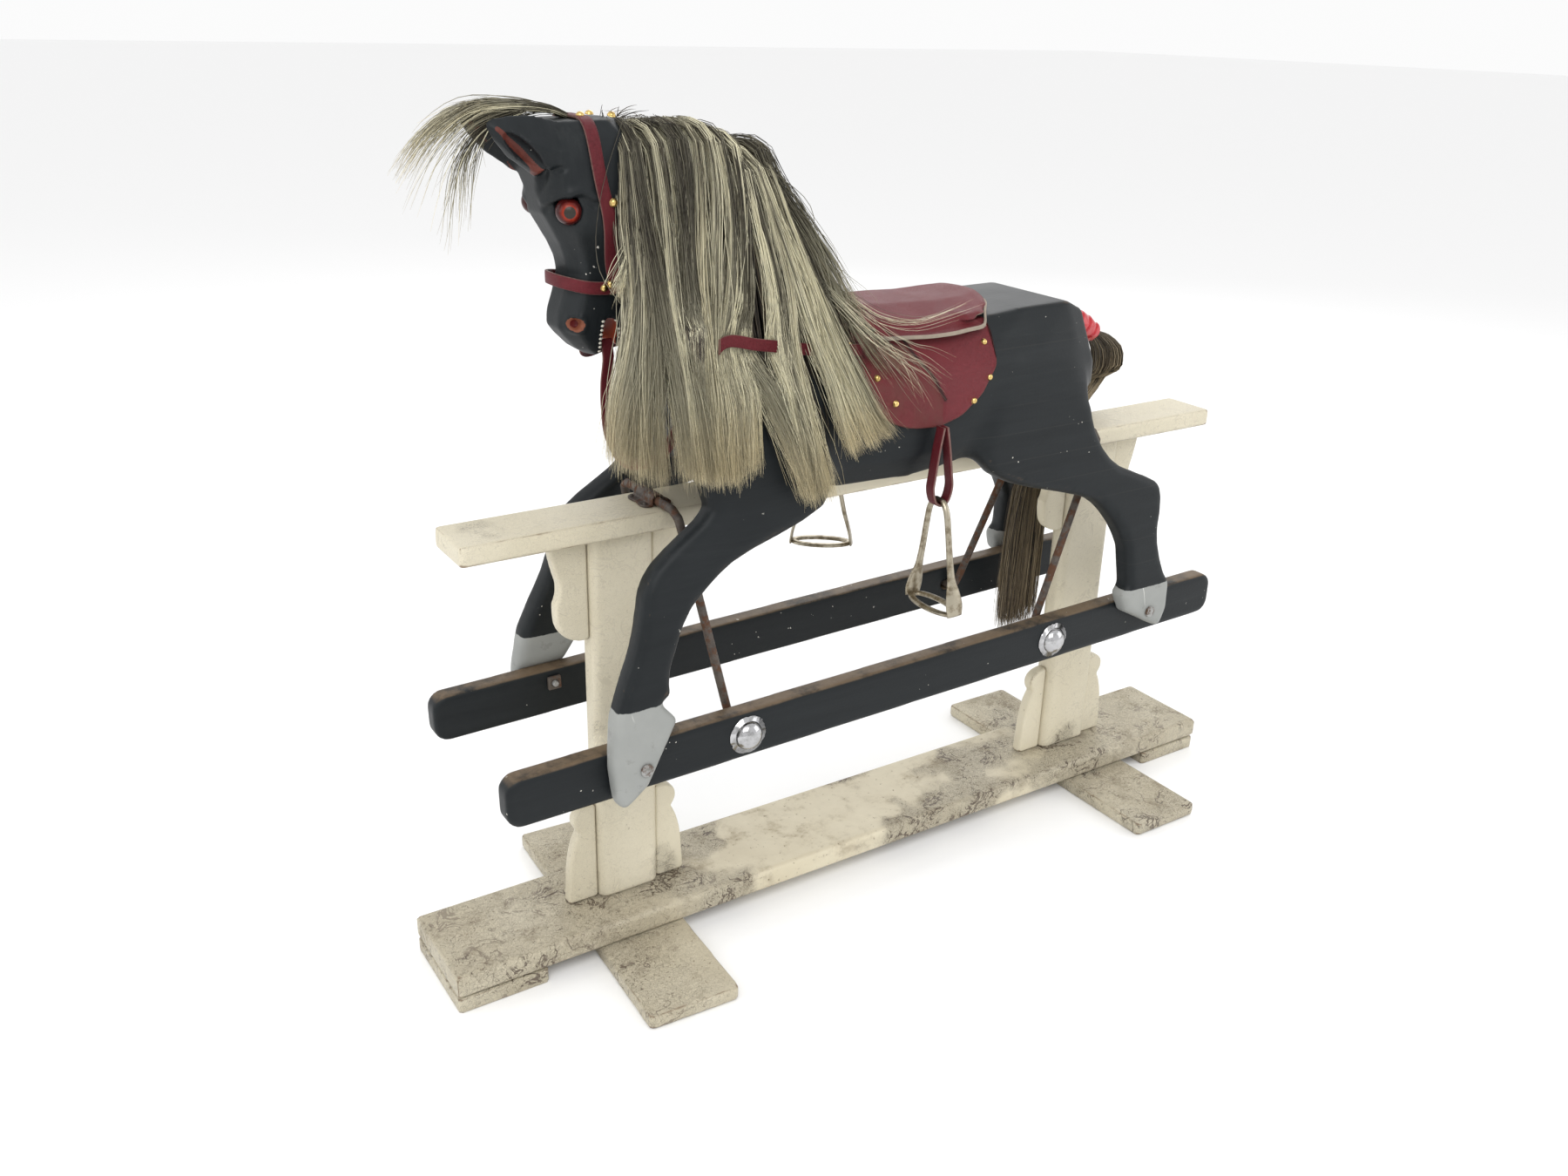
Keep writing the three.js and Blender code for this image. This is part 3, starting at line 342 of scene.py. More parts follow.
def leather(name, colour, deep):
    """Creased leather. 'edge' is 1 on a cut edge, 'felt' on bare backing, and 'seam' on a flap's fold, where a
    near-black line is painted as the fold's shade.
    """
    g = Graph(name)
    tone = g.mix(g.noise(14, 5, 0.6), deep, colour)
    creases = g.step(g.cells(70, wobble=0.25), 0.0, 0.12)
    fine = g.cells(420, wobble=0.1)
    tone = g.mix(g.times(g.math("SUBTRACT", 1.0, creases), 0.5), tone, deep)
    edge = g.worn(g.noise(40, 5, 0.7), 0.8, 0.75, 1.1)
    tone = g.mix(g.times(edge, 0.4), tone, (0.10, 0.045, 0.03))
    cut_edge = g.mix(g.noise(220, 4, 0.6), (0.12, 0.055, 0.045), (0.30, 0.20, 0.17))
    tone = g.mix(g.times(g.step(g.attribute("edge"), 0.3, 0.8), 0.8), tone, cut_edge)
    felt = g.mix(g.noise(160, 5, 0.7, stretch=(0.4, 0.4, 1)), (0.17, 0.12, 0.085), (0.42, 0.36, 0.28))
    tone = g.mix(g.step(g.attribute("felt"), 0.35, 0.6), tone, felt)
    # A near-black line of painted shade along a flap's fold.
    tone = g.mix(g.times(g.step(g.attribute("seam"), 0.3, 0.8), 0.9), tone, (0.022, 0.009, 0.008))
    g.set(Base_Color=tone)
    g.set(Roughness=g.math("ADD", 0.36, g.times(g.noise(25, 3), 0.22)))
    g.set(Specular_IOR_Level=0.28)
    g.bump(creases, 0.25 * MM)
    g.bump(fine, 0.12 * MM)
    return g.material


def metal(name, bright, dull, rough, rust=None, rust_share=0.0, pit=0.1):
    """Metal with tarnish patches, and rust over rust_share of it."""
    g = Graph(name)
    g.set(Metallic=0.0 if rust_share > 0.6 else 1.0)
    spots = g.noise(90, 5, 0.65)
    tone = g.mix(g.step(spots, 0.42, 0.66), bright, dull)
    shine = g.math("ADD", rough, g.times(g.noise(45, 4), 0.18))
    if rust:
        red = g.step(g.noise(60, 6, 0.7), 0.78 - 0.5 * rust_share, 0.9 - 0.5 * rust_share)
        tone = g.mix(red, tone, g.mix(g.noise(160, 3), rust, (0.06, 0.028, 0.014)))
        shine = g.math("ADD", shine, g.times(red, 0.35))
    g.set(Base_Color=tone, Roughness=shine)
    g.bump(g.noise(260, 4, 0.6), pit * MM)
    return g.material


def hair_look(name, pale, tip, dark, root_dark, fade):
    """Hair with dark roots. 'tone' is a strand's place in the pale range and 'shade' how dark it is;
    'along' runs from root to tip. root_dark is how far up roots are dark, fade how pale dark tips are."""
    g = Graph(name)
    tone = g.attribute("tone")
    along = g.attribute("along")
    streak = g.noise(900, 2, 0.5, stretch=(1, 1, 0.03))
    light = g.mix(g.math("ADD", g.times(tone, 0.7), g.times(streak, 0.5)), pale[0], pale[1])
    light = g.mix(g.times(g.step(along, 0.80, 1.0), 0.45), light, tip)
    paler = g.times(g.step(along, 0.40, 0.95), fade)
    darkness = g.times(g.attribute("shade"), g.math("SUBTRACT", 1.0, paler))
    darkness = g.math("ADD", darkness, g.times(streak, 0.12))
    longer = g.times(g.step(tone, 0.75, 0.15), 0.34)
    root = g.step(g.math("SUBTRACT", g.math("SUBTRACT", along, longer), root_dark), 0.18, -0.12)
    share = g.math("MAXIMUM", darkness, g.times(root, 0.75))
    g.set(Base_Color=g.mix(g.math("MINIMUM", share, 1.0), light, dark))
    g.set(Roughness=0.42, Specular_IOR_Level=0.35)
    return g.material


def plain(name, colour, rough, scale, depth=0.15, vary=0.75, coat=0.0):
    """A varied, slightly uneven surface of one colour."""
    g = Graph(name)
    darker = tuple(c * vary for c in colour)
    g.set(Base_Color=g.mix(g.noise(scale, 5, 0.6), darker, colour))
    g.set(Roughness=g.math("ADD", rough, g.times(g.noise(scale * 0.7, 3), 0.15)))
    g.set(Coat_Weight=coat)
    g.bump(g.noise(scale * 4, 3), depth * MM)
    return g.material


def glass_eye():
    """Painted glass: grey pupil, orange iris, dark red rim. 'reach' is 0 at the pupil and 1 at the rim."""
    g = Graph("amber_glass")
    reach = g.attribute("reach")
    rays = g.noise(55, 4, 0.7, warp=1.5)
    depth = g.step(g.math("ADD", reach, g.times(rays, 0.35)), 0.62, 1.0)
    iris = g.mix(depth, (0.26, 0.020, 0.004), (0.07, 0.004, 0.003))
    pupil = g.mix(g.noise(60, 3), (0.012, 0.010, 0.009), (0.04, 0.034, 0.026))
    tone = g.mix(g.step(g.math("ADD", reach, g.times(rays, 0.10)), 0.50, 0.58), pupil, iris)
    g.set(Base_Color=g.mix(g.step(reach, 0.76, 0.90), tone, (0.035, 0.003, 0.003)))
    g.set(Roughness=0.30, Specular_IOR_Level=0.15, Coat_Weight=0.2, Coat_Roughness=0.03)
    return g.material


LEATHER_RED = leather("red_brown_leather", (0.155, 0.012, 0.020), (0.080, 0.006, 0.010))
SADDLE_RED = leather("saddle_leather", (0.185, 0.023, 0.030), (0.120, 0.013, 0.018))
RUSTY = metal("rusty_iron", (0.075, 0.06, 0.048), (0.04, 0.03, 0.024), 0.5,
              rust=(0.105, 0.045, 0.022), rust_share=0.62, pit=0.3)
CHROME = metal("chrome", (0.50, 0.50, 0.51), (0.34, 0.34, 0.34), 0.07, pit=0.03)
HOOF_SCREW = metal("painted_screw", (0.30, 0.30, 0.29), (0.14, 0.135, 0.12), 0.45,
                   rust=(0.10, 0.06, 0.04), rust_share=0.62, pit=0.3)
NICKEL = metal("worn_nickel", (0.40, 0.36, 0.28), (0.19, 0.155, 0.105), 0.26,
               rust=(0.12, 0.075, 0.04), rust_share=0.2, pit=0.12)
BRASS = metal("brass", (0.72, 0.52, 0.20), (0.42, 0.29, 0.10), 0.16, pit=0.03)
RIBBON = plain("red_ribbon", (0.50, 0.006, 0.016), 0.24, scale=40, depth=0.1, coat=0.3)
FELT = plain("worn_felt", (0.36, 0.30, 0.235), 0.75, scale=120, depth=0.3, vary=0.5)
TOOTH = plain("tooth_paint", (0.74, 0.70, 0.60), 0.45, scale=200)
EYE_GLASS = glass_eye()
PALE_HAIR = hair_look("pale_hair", ((0.42, 0.36, 0.21), (1.0, 0.95, 0.70)), (0.80, 0.62, 0.32),
                      (0.026, 0.021, 0.014), root_dark=0.06, fade=0.38)
DARK_HAIR = hair_look("dark_hair", ((0.11, 0.078, 0.045), (0.42, 0.34, 0.22)), (0.30, 0.22, 0.13),
                      (0.014, 0.011, 0.009), root_dark=0.14, fade=0.0)


# ---------------------------------------------------------------- pieces from CAD nodes


def body_of(node):
    return next(name for name, members in frame["record"]["behaviour"]["bodies"].items() if node in members)


def new_piece(name, mesh, material, body):
    piece = bpy.data.objects.new(name, mesh)
    scene.collection.objects.link(piece)
    mesh.materials.clear()
    mesh.materials.append(material)
    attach(piece, body)
    return piece


def stand_in(name, mesh, material, node):
    """A new piece that stands for one CAD node, on its body and with its finish."""
    piece = new_piece(name, mesh, material, body_of(node))
    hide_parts(node)
    return piece


def finished(name, work):
    """A bmesh turned into a mesh and freed."""
    mesh = bpy.data.meshes.new(name)
    work.to_mesh(mesh)
    work.free()
    return mesh


def gathered(meshes):
    work = bmesh.new()
    for mesh in meshes:
        work.from_mesh(mesh)
    return work


def welded_copy(*names):
    """The CAD nodes' meshes in one, with each corner's copies merged."""
    work = gathered([nodes[name].data for name in names])
    bmesh.ops.remove_doubles(work, verts=work.verts, dist=0.01 * MM)
    return finished(names[0], work)


def remeshed(mesh, voxel):
    """An even mesh over the union of the parts of mesh."""
    helper = bpy.data.objects.new("helper", mesh)
    scene.collection.objects.link(helper)
    modifier = helper.modifiers.new("voxels", "REMESH")
    modifier.mode = "VOXEL"
    modifier.voxel_size = voxel
    graph = bpy.context.evaluated_depsgraph_get()
    result = bpy.data.meshes.new_from_object(helper.evaluated_get(graph))
    bpy.data.objects.remove(helper)
    return result


def positions(mesh):
    flat = np.empty(len(mesh.vertices) * 3)
    mesh.vertices.foreach_get("co", flat)
    return flat.reshape(-1, 3)


def normals(mesh):
    flat = np.empty(len(mesh.vertices) * 3)
    mesh.vertices.foreach_get("normal", flat)
    return flat.reshape(-1, 3)


def place(mesh, points):
    mesh.vertices.foreach_set("co", np.asarray(points).ravel())
    mesh.update()


def relaxed(mesh, rounds, share=1.0):
    """Every vertex moves halfway to the middle of its neighbours, rounds times, by its own share."""
    points = positions(mesh)
    ends = np.empty(len(mesh.edges) * 2, int)
    mesh.edges.foreach_get("vertices", ends)
    a, b = ends.reshape(-1, 2).T
    count = np.maximum(np.bincount(np.concatenate((a, b)), minlength=len(points)), 1)
    pull = 0.5 * np.broadcast_to(share, len(points))[:, None]
    for _ in range(rounds):
        total = np.stack([
            np.bincount(a, points[b, k], len(points)) + np.bincount(b, points[a, k], len(points))
            for k in range(3)
        ], axis=1)
        points = points + pull * (total / count[:, None] - points)
    return points


def add_attribute(mesh, name, values):
    attribute = mesh.attributes.new(name, "FLOAT", "POINT")
    attribute.data.foreach_set("value", np.asarray(values, np.float32))


def smooth_shaded(mesh):
    mesh.polygons.foreach_set("use_smooth", np.ones(len(mesh.polygons), bool))
    mesh.update()


def ramp(values, low, high):
    """0 below low, 1 above high, smooth between. low above high turns it over."""
    share = np.clip((np.asarray(values, float) - low) / (high - low), 0, 1)
    return share * share * (3 - 2 * share)


def band(values, edges):
    """Rises from 0 to 1 between the first two edges and falls again between the last two."""
    return ramp(values, edges[0], edges[1]) * (1 - ramp(values, edges[2], edges[3]))


def hump(distance, width):
    """1 at no distance, falling away smoothly to either side."""
    return np.exp(-(distance / width) ** 2)


def blend(a, b, share):
    return a * (1 - share) + b * share


WEAR_DEPTH = 1.1 * MM


def softened(mesh, rounds):
    """Rounds the edges of a fine mesh. 'wear' is 1 where an edge was cut back."""
    sharp = positions(mesh)
    soft = relaxed(mesh, rounds)
    place(mesh, soft)
    cut = np.einsum("ij,ij->i", sharp - soft, normals(mesh))
    add_attribute(mesh, "wear", np.clip(cut / WEAR_DEPTH, 0, 1))
    smooth_shaded(mesh)


def carved(node, voxel, rounds, material):
    """A finely meshed copy of a CAD node with rounded edges, standing for it."""
    mesh = remeshed(welded_copy(node), voxel)
    softened(mesh, rounds)
    return stand_in(node + "_carved", mesh, material, node)


def horse_points(points):
    """Points in the horse frame, in millimetres, moved to the row frame in metres."""
    turn = np.array(HORSE_TO_ROW)
    return np.asarray(points, float) * MM @ turn[:3, :3].T + turn[:3, 3]


def to_horse(points):
    """Points in the row frame, in metres, moved to the horse frame in millimetres."""
    turn = np.array(HORSE_TO_ROW.inverted())
    return (np.asarray(points, float) @ turn[:3, :3].T + turn[:3, 3]) / MM


def spline(points, at):
    """A Catmull-Rom curve through points, at places from 0 to 1. Works on rows of any width."""
    points = np.asarray(points, float)
    padded = np.concatenate((points[:1] * 2 - points[1:2], points, points[-1:] * 2 - points[-2:-1]))
    spot = np.clip(np.asarray(at, float), 0, 1) * (len(points) - 1)
    i = np.minimum(spot.astype(int), len(points) - 2)
    t = (spot - i)[..., None]
    p0, p1, p2, p3 = (padded[i + k] for k in range(4))
    return 0.5 * (2 * p1 + (p2 - p0) * t + (2 * p0 - 5 * p1 + 4 * p2 - p3) * t**2
                  + (3 * p1 - p0 - 3 * p2 + p3) * t**3)


def circle(count):
    """Angles evenly spaced once round."""
    return np.linspace(0, 2 * math.pi, count, endpoint=False)


def unit(vectors):
    return vectors / (np.linalg.norm(vectors, axis=-1, keepdims=True) + 1e-12)


def ring_mesh(name, rings, closed=False):
    """A mesh through rings of points, (ring, point, xyz), capped at its ends or joined end to end."""
    count, around, _ = rings.shape
    faces = []
    for ring in range(count if closed else count - 1):
        here = ring * around
        there = (ring + 1) % count * around
        for k in range(around):
            after = (k + 1) % around
            faces.append((here + k, here + after, there + after, there + k))
    if not closed:
        faces.append(tuple(range(around))[::-1])
        faces.append(tuple(range((count - 1) * around, count * around)))
    mesh = bpy.data.meshes.new(name)
    mesh.from_pydata(rings.reshape(-1, 3).tolist(), [], faces)
    work = gathered([mesh])
    bmesh.ops.recalc_face_normals(work, faces=work.faces)
    work.to_mesh(mesh)
    work.free()
    smooth_shaded(mesh)
    return mesh


def oval_rings(path, across, wide, up, thick, around):
    """Ovals round the points of path, reaching wide along across and thick along up."""
    angle = circle(around)
    across, up = (np.broadcast_to(way, path.shape)[:, None] for way in (across, up))
    beside = across * (np.cos(angle) * wide)[..., None]
    above = up * (np.sin(angle) * thick)[..., None]
    return path[:, None] + beside + above


# Half of a strap's section: across its width, through its thickness, and 1 on the cut edge.
STRAP_SECTION = [(-1, -0.5, 1), (-0.93, -1, 0.4), (-0.6, -1, 0), (0.6, -1, 0), (0.93, -1, 0.4),
                 (1, -0.5, 1), (1, 0.5, 1), (0.93, 1, 0.4), (0.6, 1.12, 0), (-0.6, 1.12, 0),
                 (-0.93, 1, 0.4), (-1, 0.5, 1)]


def strap_mesh(name, path, outward, width, thick, closed=False):
    """A leather strap along path, all in metres. outward points away from its inner face."""
    path = np.asarray(path)
    if closed:
        along = unit(np.roll(path, -1, axis=0) - np.roll(path, 1, axis=0))
    else:
        along = unit(np.gradient(path, axis=0))
    side = unit(np.cross(along, outward))
    out = unit(np.cross(side, along))
    section = np.array(STRAP_SECTION)
    rings = (path[:, None] + side[:, None] * section[None, :, :1] * width / 2
             + out[:, None] * section[None, :, 1:2] * thick / 2)
    mesh = ring_mesh(name, rings, closed)
    add_attribute(mesh, "edge", np.tile(section[:, 2], len(path)))
    return mesh


def joined(name, meshes):
    whole = finished(name, gathered(meshes))
    smooth_shaded(whole)
    return whole


def tree_of(mesh):
    """The mesh's faces, for finding what is near or what a ray meets."""
    work = gathered([mesh])
    tree = BVHTree.FromBMesh(work)
    work.free()
    return tree


def turned_mesh(name, profile, axis, spot, around=24, uneven=None):
    """A profile of (radius, height) turned about axis through spot, all in metres."""
    axis = Vector(axis).normalized()
    across = np.array(axis.orthogonal().normalized())
    second = np.cross(np.array(axis), across)
    angle = circle(around)
    spokes = np.cos(angle)[:, None] * across + np.sin(angle)[:, None] * second
    rings = []
    for radius, height in profile:
        reach = np.full(around, max(radius, 0.02 * MM))
        if uneven is not None:
            reach = reach * (1 + uneven * min(1, radius / profile[0][0]) ** 6)
        rings.append(np.array(spot) + spokes * reach[:, None] + np.array(axis) * height)
    return ring_mesh(name, np.array(rings))


def dome_profile(radius, height, flange, plate):
    """A dome on a flat plate that reaches out to flange."""
    rise = [(radius * math.cos(a), plate + height * math.sin(a)) for a in np.linspace(0, math.pi / 2, 9)]
    return [(flange, 0), (flange, plate * 0.7)] + rise


def studs(name, spots, outward, radius, material, body):
    """Domed nails at spots, joined in one piece."""
    profile = dome_profile(radius, radius * 0.75, radius * 1.12, radius * 0.18)
    heads = [turned_mesh(name, profile, axis, spot, 14) for spot, axis in zip(spots, outward)]
    return new_piece(name, joined(name, heads), material, body)


# ---------------------------------------------------------------- stand

CREAM_CLEAN = cream_paint("cream_paint", 0.35)
CREAM_DIRTY = cream_paint("cream_paint_dirty", 1.0)

BOARD_VOXEL = 3.2 * MM
BRACKET_VOXEL = 2.2 * MM
for node in ("base_plank", "front_cross_foot", "rear_cross_foot", "front_end_block", "rear_end_block"):
    carved(node, BOARD_VOXEL, 2, CREAM_DIRTY)
carved("top_rail", BOARD_VOXEL, 2, CREAM_CLEAN)
for end in ("front", "rear"):
    carved(end + "_post", BOARD_VOXEL, 2, CREAM_CLEAN)
    for face in ("outer", "inner"):
        for level in ("upper", "lower"):
            carved(f"{end}_post_{face}_{level}_bracket", BRACKET_VOXEL, 3, CREAM_CLEAN)


# ---------------------------------------------------------------- carved horse

BODY_PAINT = charcoal_paint("charcoal_paint", boards=True, hooves=True)
HEAD_PAINT = charcoal_paint("charcoal_head", grain=(1, 1, 0.2), trimmed=True)
RUNNER_PAINT = charcoal_paint("charcoal_runner", grain=(0.08, 1, 1), dusty=0.9)

LEG_NODES = [f"{hand}_{end}_leg" for hand in SIDES for end in ("front", "hind")]
BODY_VOXEL = 3.7 * MM
RUNNER_VOXEL = 2.8 * MM
JOINT_LEVEL = 0.5             # the legs meet the torso above this height
JOINT_REACH = 26 * MM
JOINT_ROUNDS = 46
LEFT_FRONT_HOOF_TOP = 0.397
RIGHT_FRONT_HOOF_TOP = 0.384
HIND_HOOF_TOP = 0.381


def distance_to(tree, points):
    return np.array([tree.find_nearest(Vector(p))[3] for p in points])


def make_body():
    """Torso, neck and legs as one painted carving. The joints between them are blended."""
    mesh = remeshed(welded_copy("torso", "neck", *LEG_NODES), BODY_VOXEL)
    points = positions(mesh)
    high = points[:, 2] > JOINT_LEVEL
    seam = np.zeros(len(points))
    near_torso = distance_to(tree_of(welded_copy("torso")), points[high])
    near_leg = distance_to(tree_of(welded_copy(*LEG_NODES)), points[high])
    seam[high] = 1 - ramp(np.maximum(near_torso, near_leg), 0.25 * JOINT_REACH, JOINT_REACH)
    place(mesh, relaxed(mesh, JOINT_ROUNDS, seam))
    softened(mesh, 4)
    front_top = np.where(points[:, 1] < 0, LEFT_FRONT_HOOF_TOP, RIGHT_FRONT_HOOF_TOP)
    hoof_top = np.where(points[:, 0] < 0, front_top, HIND_HOOF_TOP)
    add_attribute(mesh, "above_hoof", (points[:, 2] - hoof_top) / MM)
    body = new_piece("carved_body", mesh, BODY_PAINT, "horse")
    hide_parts("torso", "neck", *LEG_NODES)
    return body


carved_body = make_body()
for hand in SIDES:
    carved(hand + "_runner", RUNNER_VOXEL, 3, RUNNER_PAINT)


# ---------------------------------------------------------------- head

HEAD_VOXEL = 1.9 * MM
# Places on the sides of the head as (x, z) in the horse frame, in millimetres.
NOSTRIL_SPOT = (-435, 828)
EAR_CUP = [(-513, 1034), (-500, 1021), (-489, 1012), (-479, 1001), (-470, 990)]
BROW = [(-460, 958), (-452, 964), (-441, 968), (-429, 970), (-416, 963)]
FACE_GROOVE = [(-465, 993), (-462, 982), (-466, 967), (-472, 953), (-470, 938), (-456, 925)]
EAR_CREASE = [(-464, 984), (-456, 990), (-447, 994)]
# Lines carved on it: their places, how far they stand up (or are cut in), and their half width.
CARVED_LINES = [
    (BROW, 3.4, 5.0),
    (np.array(BROW) - (0, 8), -3.0, 3.4),
    (FACE_GROOVE, -4.2, 3.2),
    (np.array(FACE_GROOVE) - (9, 0), 2.0, 4.5),
    (EAR_CREASE, -4.0, 3.0),
]
CHEEK = (-392, 938)
LIP_HEIGHT = 850              # nostrils lie below this
EAR_HEIGHT = 983              # the ears' insides lie above this
MOUTH_REAR, MOUTH_FRONT = -384.5, -406.5
MOUTH_LOW, MOUTH_HIGH = 786, 834


def line_distance(points, line):
    """Distance in (x, z) from each point to a smooth line through given places."""
    dense = spline(line, np.linspace(0, 1, 60))
    gap = points[..., (0, 2)][..., None, :] - dense
    return np.sqrt((gap**2).sum(axis=-1)).min(axis=-1)


def spot_distance(points, spot):
    """Distance in (x, z) from each point to one place."""
    return np.linalg.norm(points[:, (0, 2)] - spot, axis=1)


def carve_head(points, out):
    """Brow, grooves, cheek and flared nostrils, cut or raised along the surface normals."""
    side_on = ramp(np.abs(points[:, 1]), 14, 30)
    height = sum(rise * hump(line_distance(points, line), width) for line, rise, width in CARVED_LINES)
    height += 4.5 * hump(spot_distance(points, CHEEK), 30)
    rim = spot_distance(points, NOSTRIL_SPOT)
    height += 1.6 * hump(rim - 8, 2.8) * (points[:, 2] < LIP_HEIGHT)
    return points + out * (height * side_on)[:, None]


def make_head():
    """The carved head, with attributes that say where its painted trim lies."""
    mesh = remeshed(welded_copy("head"), HEAD_VOXEL)
    place(mesh, relaxed(mesh, 5))
    points = to_horse(positions(mesh))
    cup = line_distance(points, EAR_CUP)
    out = normals(mesh)
    place(mesh, horse_points(carve_head(points, out)))
    softened(mesh, 2)
    beside = np.abs(points[:, 1])
    width = np.interp(points[:, 0], [-513, -495, -470], [2.5, 4.5, 4.0])
    facing = -out[:, 0] * 0.5 - out[:, 2] * 0.5 + np.abs(out[:, 1])
    add_attribute(mesh, "flesh", (1 - ramp(cup, width - 1, width + 1)) * (beside > 24) * (facing > 0.2)
                  * (points[:, 2] > EAR_HEIGHT))
    rim = spot_distance(points, NOSTRIL_SPOT)
    low = points[:, 2] < LIP_HEIGHT
    add_attribute(mesh, "nostril", (1 - ramp(rim, 7.2, 8.2)) * low)
    add_attribute(mesh, "pit", (1 - ramp(rim, 4.2, 5.0)) * low)
    x, _, z = points.T
    inside = (x > MOUTH_FRONT) & (x < MOUTH_REAR) & (z > MOUTH_LOW) & (z < MOUTH_HIGH)
    add_attribute(mesh, "mouth", inside & (beside < np.interp(z, [790, 812, 838], [28, 32, 36])))
    return stand_in("carved_head", mesh, HEAD_PAINT, "head")


EYE_PLACE = (-442, 44.5, 949.5)
EYE_RADIUS = 13.9 * MM


def make_eye(hand):
    """A glass eye facing outwards and a little forwards."""
    side = SIDES[hand]
    centre = horse_points(EYE_PLACE * np.array((1, side, 1)))
    axis = unit(np.array([-0.30, side * 0.95, 0.02]))
    angles = np.linspace(0.0, 0.9 * math.pi, 22)
    profile = [(EYE_RADIUS * math.sin(a), EYE_RADIUS * math.cos(a)) for a in angles[::-1]]
    mesh = turned_mesh(hand + "_glass_eye", profile, axis, centre, 32)
    off_axis = np.linalg.norm(np.cross(positions(mesh) - centre, axis), axis=1) / EYE_RADIUS
    add_attribute(mesh, "reach", off_axis / 0.93)
    stand_in(hand + "_glass_eye", mesh, EYE_GLASS, hand + "_eye")


carved_head = make_head()
for hand in SIDES:
    make_eye(hand)


# ---------------------------------------------------------------- bridle

head_tree = tree_of(carved_head.data)
body_tree = tree_of(carved_body.data)


def seen_from(tree, origin, target):
    """Where a ray from origin to target, both in the horse frame, first meets the surface."""
    start = Vector(horse_points(origin))
    aim = Vector(horse_points(target)) - start
    hit = tree.ray_cast(start, aim.normalized())[0]
    return to_horse(hit) if hit else np.array(target, float)


# The two rows of teeth on each side, as (x, z) at their ends.
TOOTH_ROWS = [[(-405.5, 829), (-408, 812), (-408, 795)], [(-388, 828), (-384.5, 816), (-383.5, 804)]]
TOOTH_STEP = 4.2


def make_teeth():
    """Small square teeth along the lips, set into the jaw's side."""
    work = bmesh.new()
    size = Matrix.Diagonal((4.0 * MM, 3.4 * MM, 2.7 * MM, 1))
    for row in TOOTH_ROWS:
        count = round((row[0][1] - row[-1][1]) / TOOTH_STEP)
        for x, z in spline(row, np.linspace(0, 1, count)):
            for side in SIDES.values():
                lip = seen_from(head_tree, (x, side * 150, z), (x, 0, z))
                spot = Vector(horse_points(lip - (0, side * 0.3, 0)))
                bmesh.ops.create_cube(work, size=1, matrix=Matrix.Translation(spot) @ size)
    bmesh.ops.bevel(work, geom=work.edges[:], offset=0.8 * MM, segments=2, affect="EDGES")
    mesh = finished("teeth", work)
    smooth_shaded(mesh)
    new_piece("teeth", mesh, TOOTH, "horse")


def evened(values, rounds, closed):
    """Takes the small steps out of a path."""
    for _ in range(rounds):
        before = np.roll(values, 1, axis=0)
        after = np.roll(values, -1, axis=0)
        if not closed:
            before[0], after[-1] = values[0], values[-1]
        values = (before + 2 * values + after) / 4
    return values


NOSEBAND_MIDDLE = (-402, 0, 865)


def make_noseband():
    """A band round the muzzle: slack in front, dipping towards the jaw."""
    path = []
    for angle in circle(96):
        way = np.array([-math.cos(angle), math.sin(angle), 0])
        lift = 9 * max(0, -way[0]) ** 1.5
        spot = NOSEBAND_MIDDLE + np.array((0, 0, lift))
        hit = seen_from(head_tree, spot + way * 120, spot)
        slack = 3.0 + 9.5 * max(0, -way[0]) ** 3
        path.append(hit + way * slack)
    path = evened(np.array(path), 10, True)
    outward = unit(path - path.mean(axis=0)) * (1, 1, 0)
    mesh = strap_mesh("noseband_strap", horse_points(path), outward, width=14 * MM, thick=3 * MM, closed=True)
    stand_in("noseband_strap", mesh, LEATHER_RED, "noseband")


# The cheek piece from its foot up, as (x, z).
CHEEK_LINE = [(-388, 862), (-393, 890), (-398, 921), (-404, 956), (-408, 990), (-411, 1024), (-412, 1050)]
HEADPIECE_MIDDLE = 955        # the height that the crown bends round
HEADPIECE_LOW = 868


def make_headpiece():
    """Cheek pieces and crown in one strap, over the poll behind the ears."""
    path = []
    for angle in np.linspace(-1.15, math.pi + 1.15, 120):
        z_aim = HEADPIECE_MIDDLE + 100 * math.sin(angle)
        x = np.interp(z_aim, [z for _, z in CHEEK_LINE], [x for x, _ in CHEEK_LINE])
        spot = np.array([x, 0.0, HEADPIECE_MIDDLE if 0 < angle < math.pi else z_aim])
        way = np.array([0, -math.cos(angle), max(0.0, math.sin(angle))])
        hit = seen_from(head_tree, spot + way * 200, spot)
        path.append(hit + unit(way) * 2.4)
    path = evened(np.array(path), 8, False)
    path = path[path[:, 2] > HEADPIECE_LOW]
    outward = unit(path - (path[:, 0].mean(), 0, 950)) * (0, 1, 1)
    mesh = strap_mesh("headpiece_strap", horse_points(path), outward, width=15 * MM, thick=3 * MM)
    stand_in("headpiece_strap", mesh, LEATHER_RED, "headpiece")


CHEEK_STUDS = [(-397, 957), (-396, 869), (-404, 866)]
POLL_STUDS = [(-412, -20), (-396, -8), (-378, -24)]
BRIDLE_STUD_RADIUS = 4.3 * MM


def make_bridle_studs():
    """Brass nails at (x, z) on both cheeks and at (x, y) over the poll."""
    spots = []
    ways = []
    for side in SIDES.values():
        for x, z in CHEEK_STUDS:
            hit = seen_from(head_tree, (x, side * 150, z), (x, 0, z))
            spots.append(horse_points(hit + (0, side * 4.0, 0)))
            ways.append((0, side, 0))
    for x, y in POLL_STUDS:
        hit = seen_from(head_tree, (x, y, 1150), (x, y, 900))
        spots.append(horse_points(hit + (0, 0, 3.6)))
        ways.append((0, 0.35 * y / 20, 1))
    studs("bridle_studs", spots, ways, BRIDLE_STUD_RADIUS, BRASS, "horse")


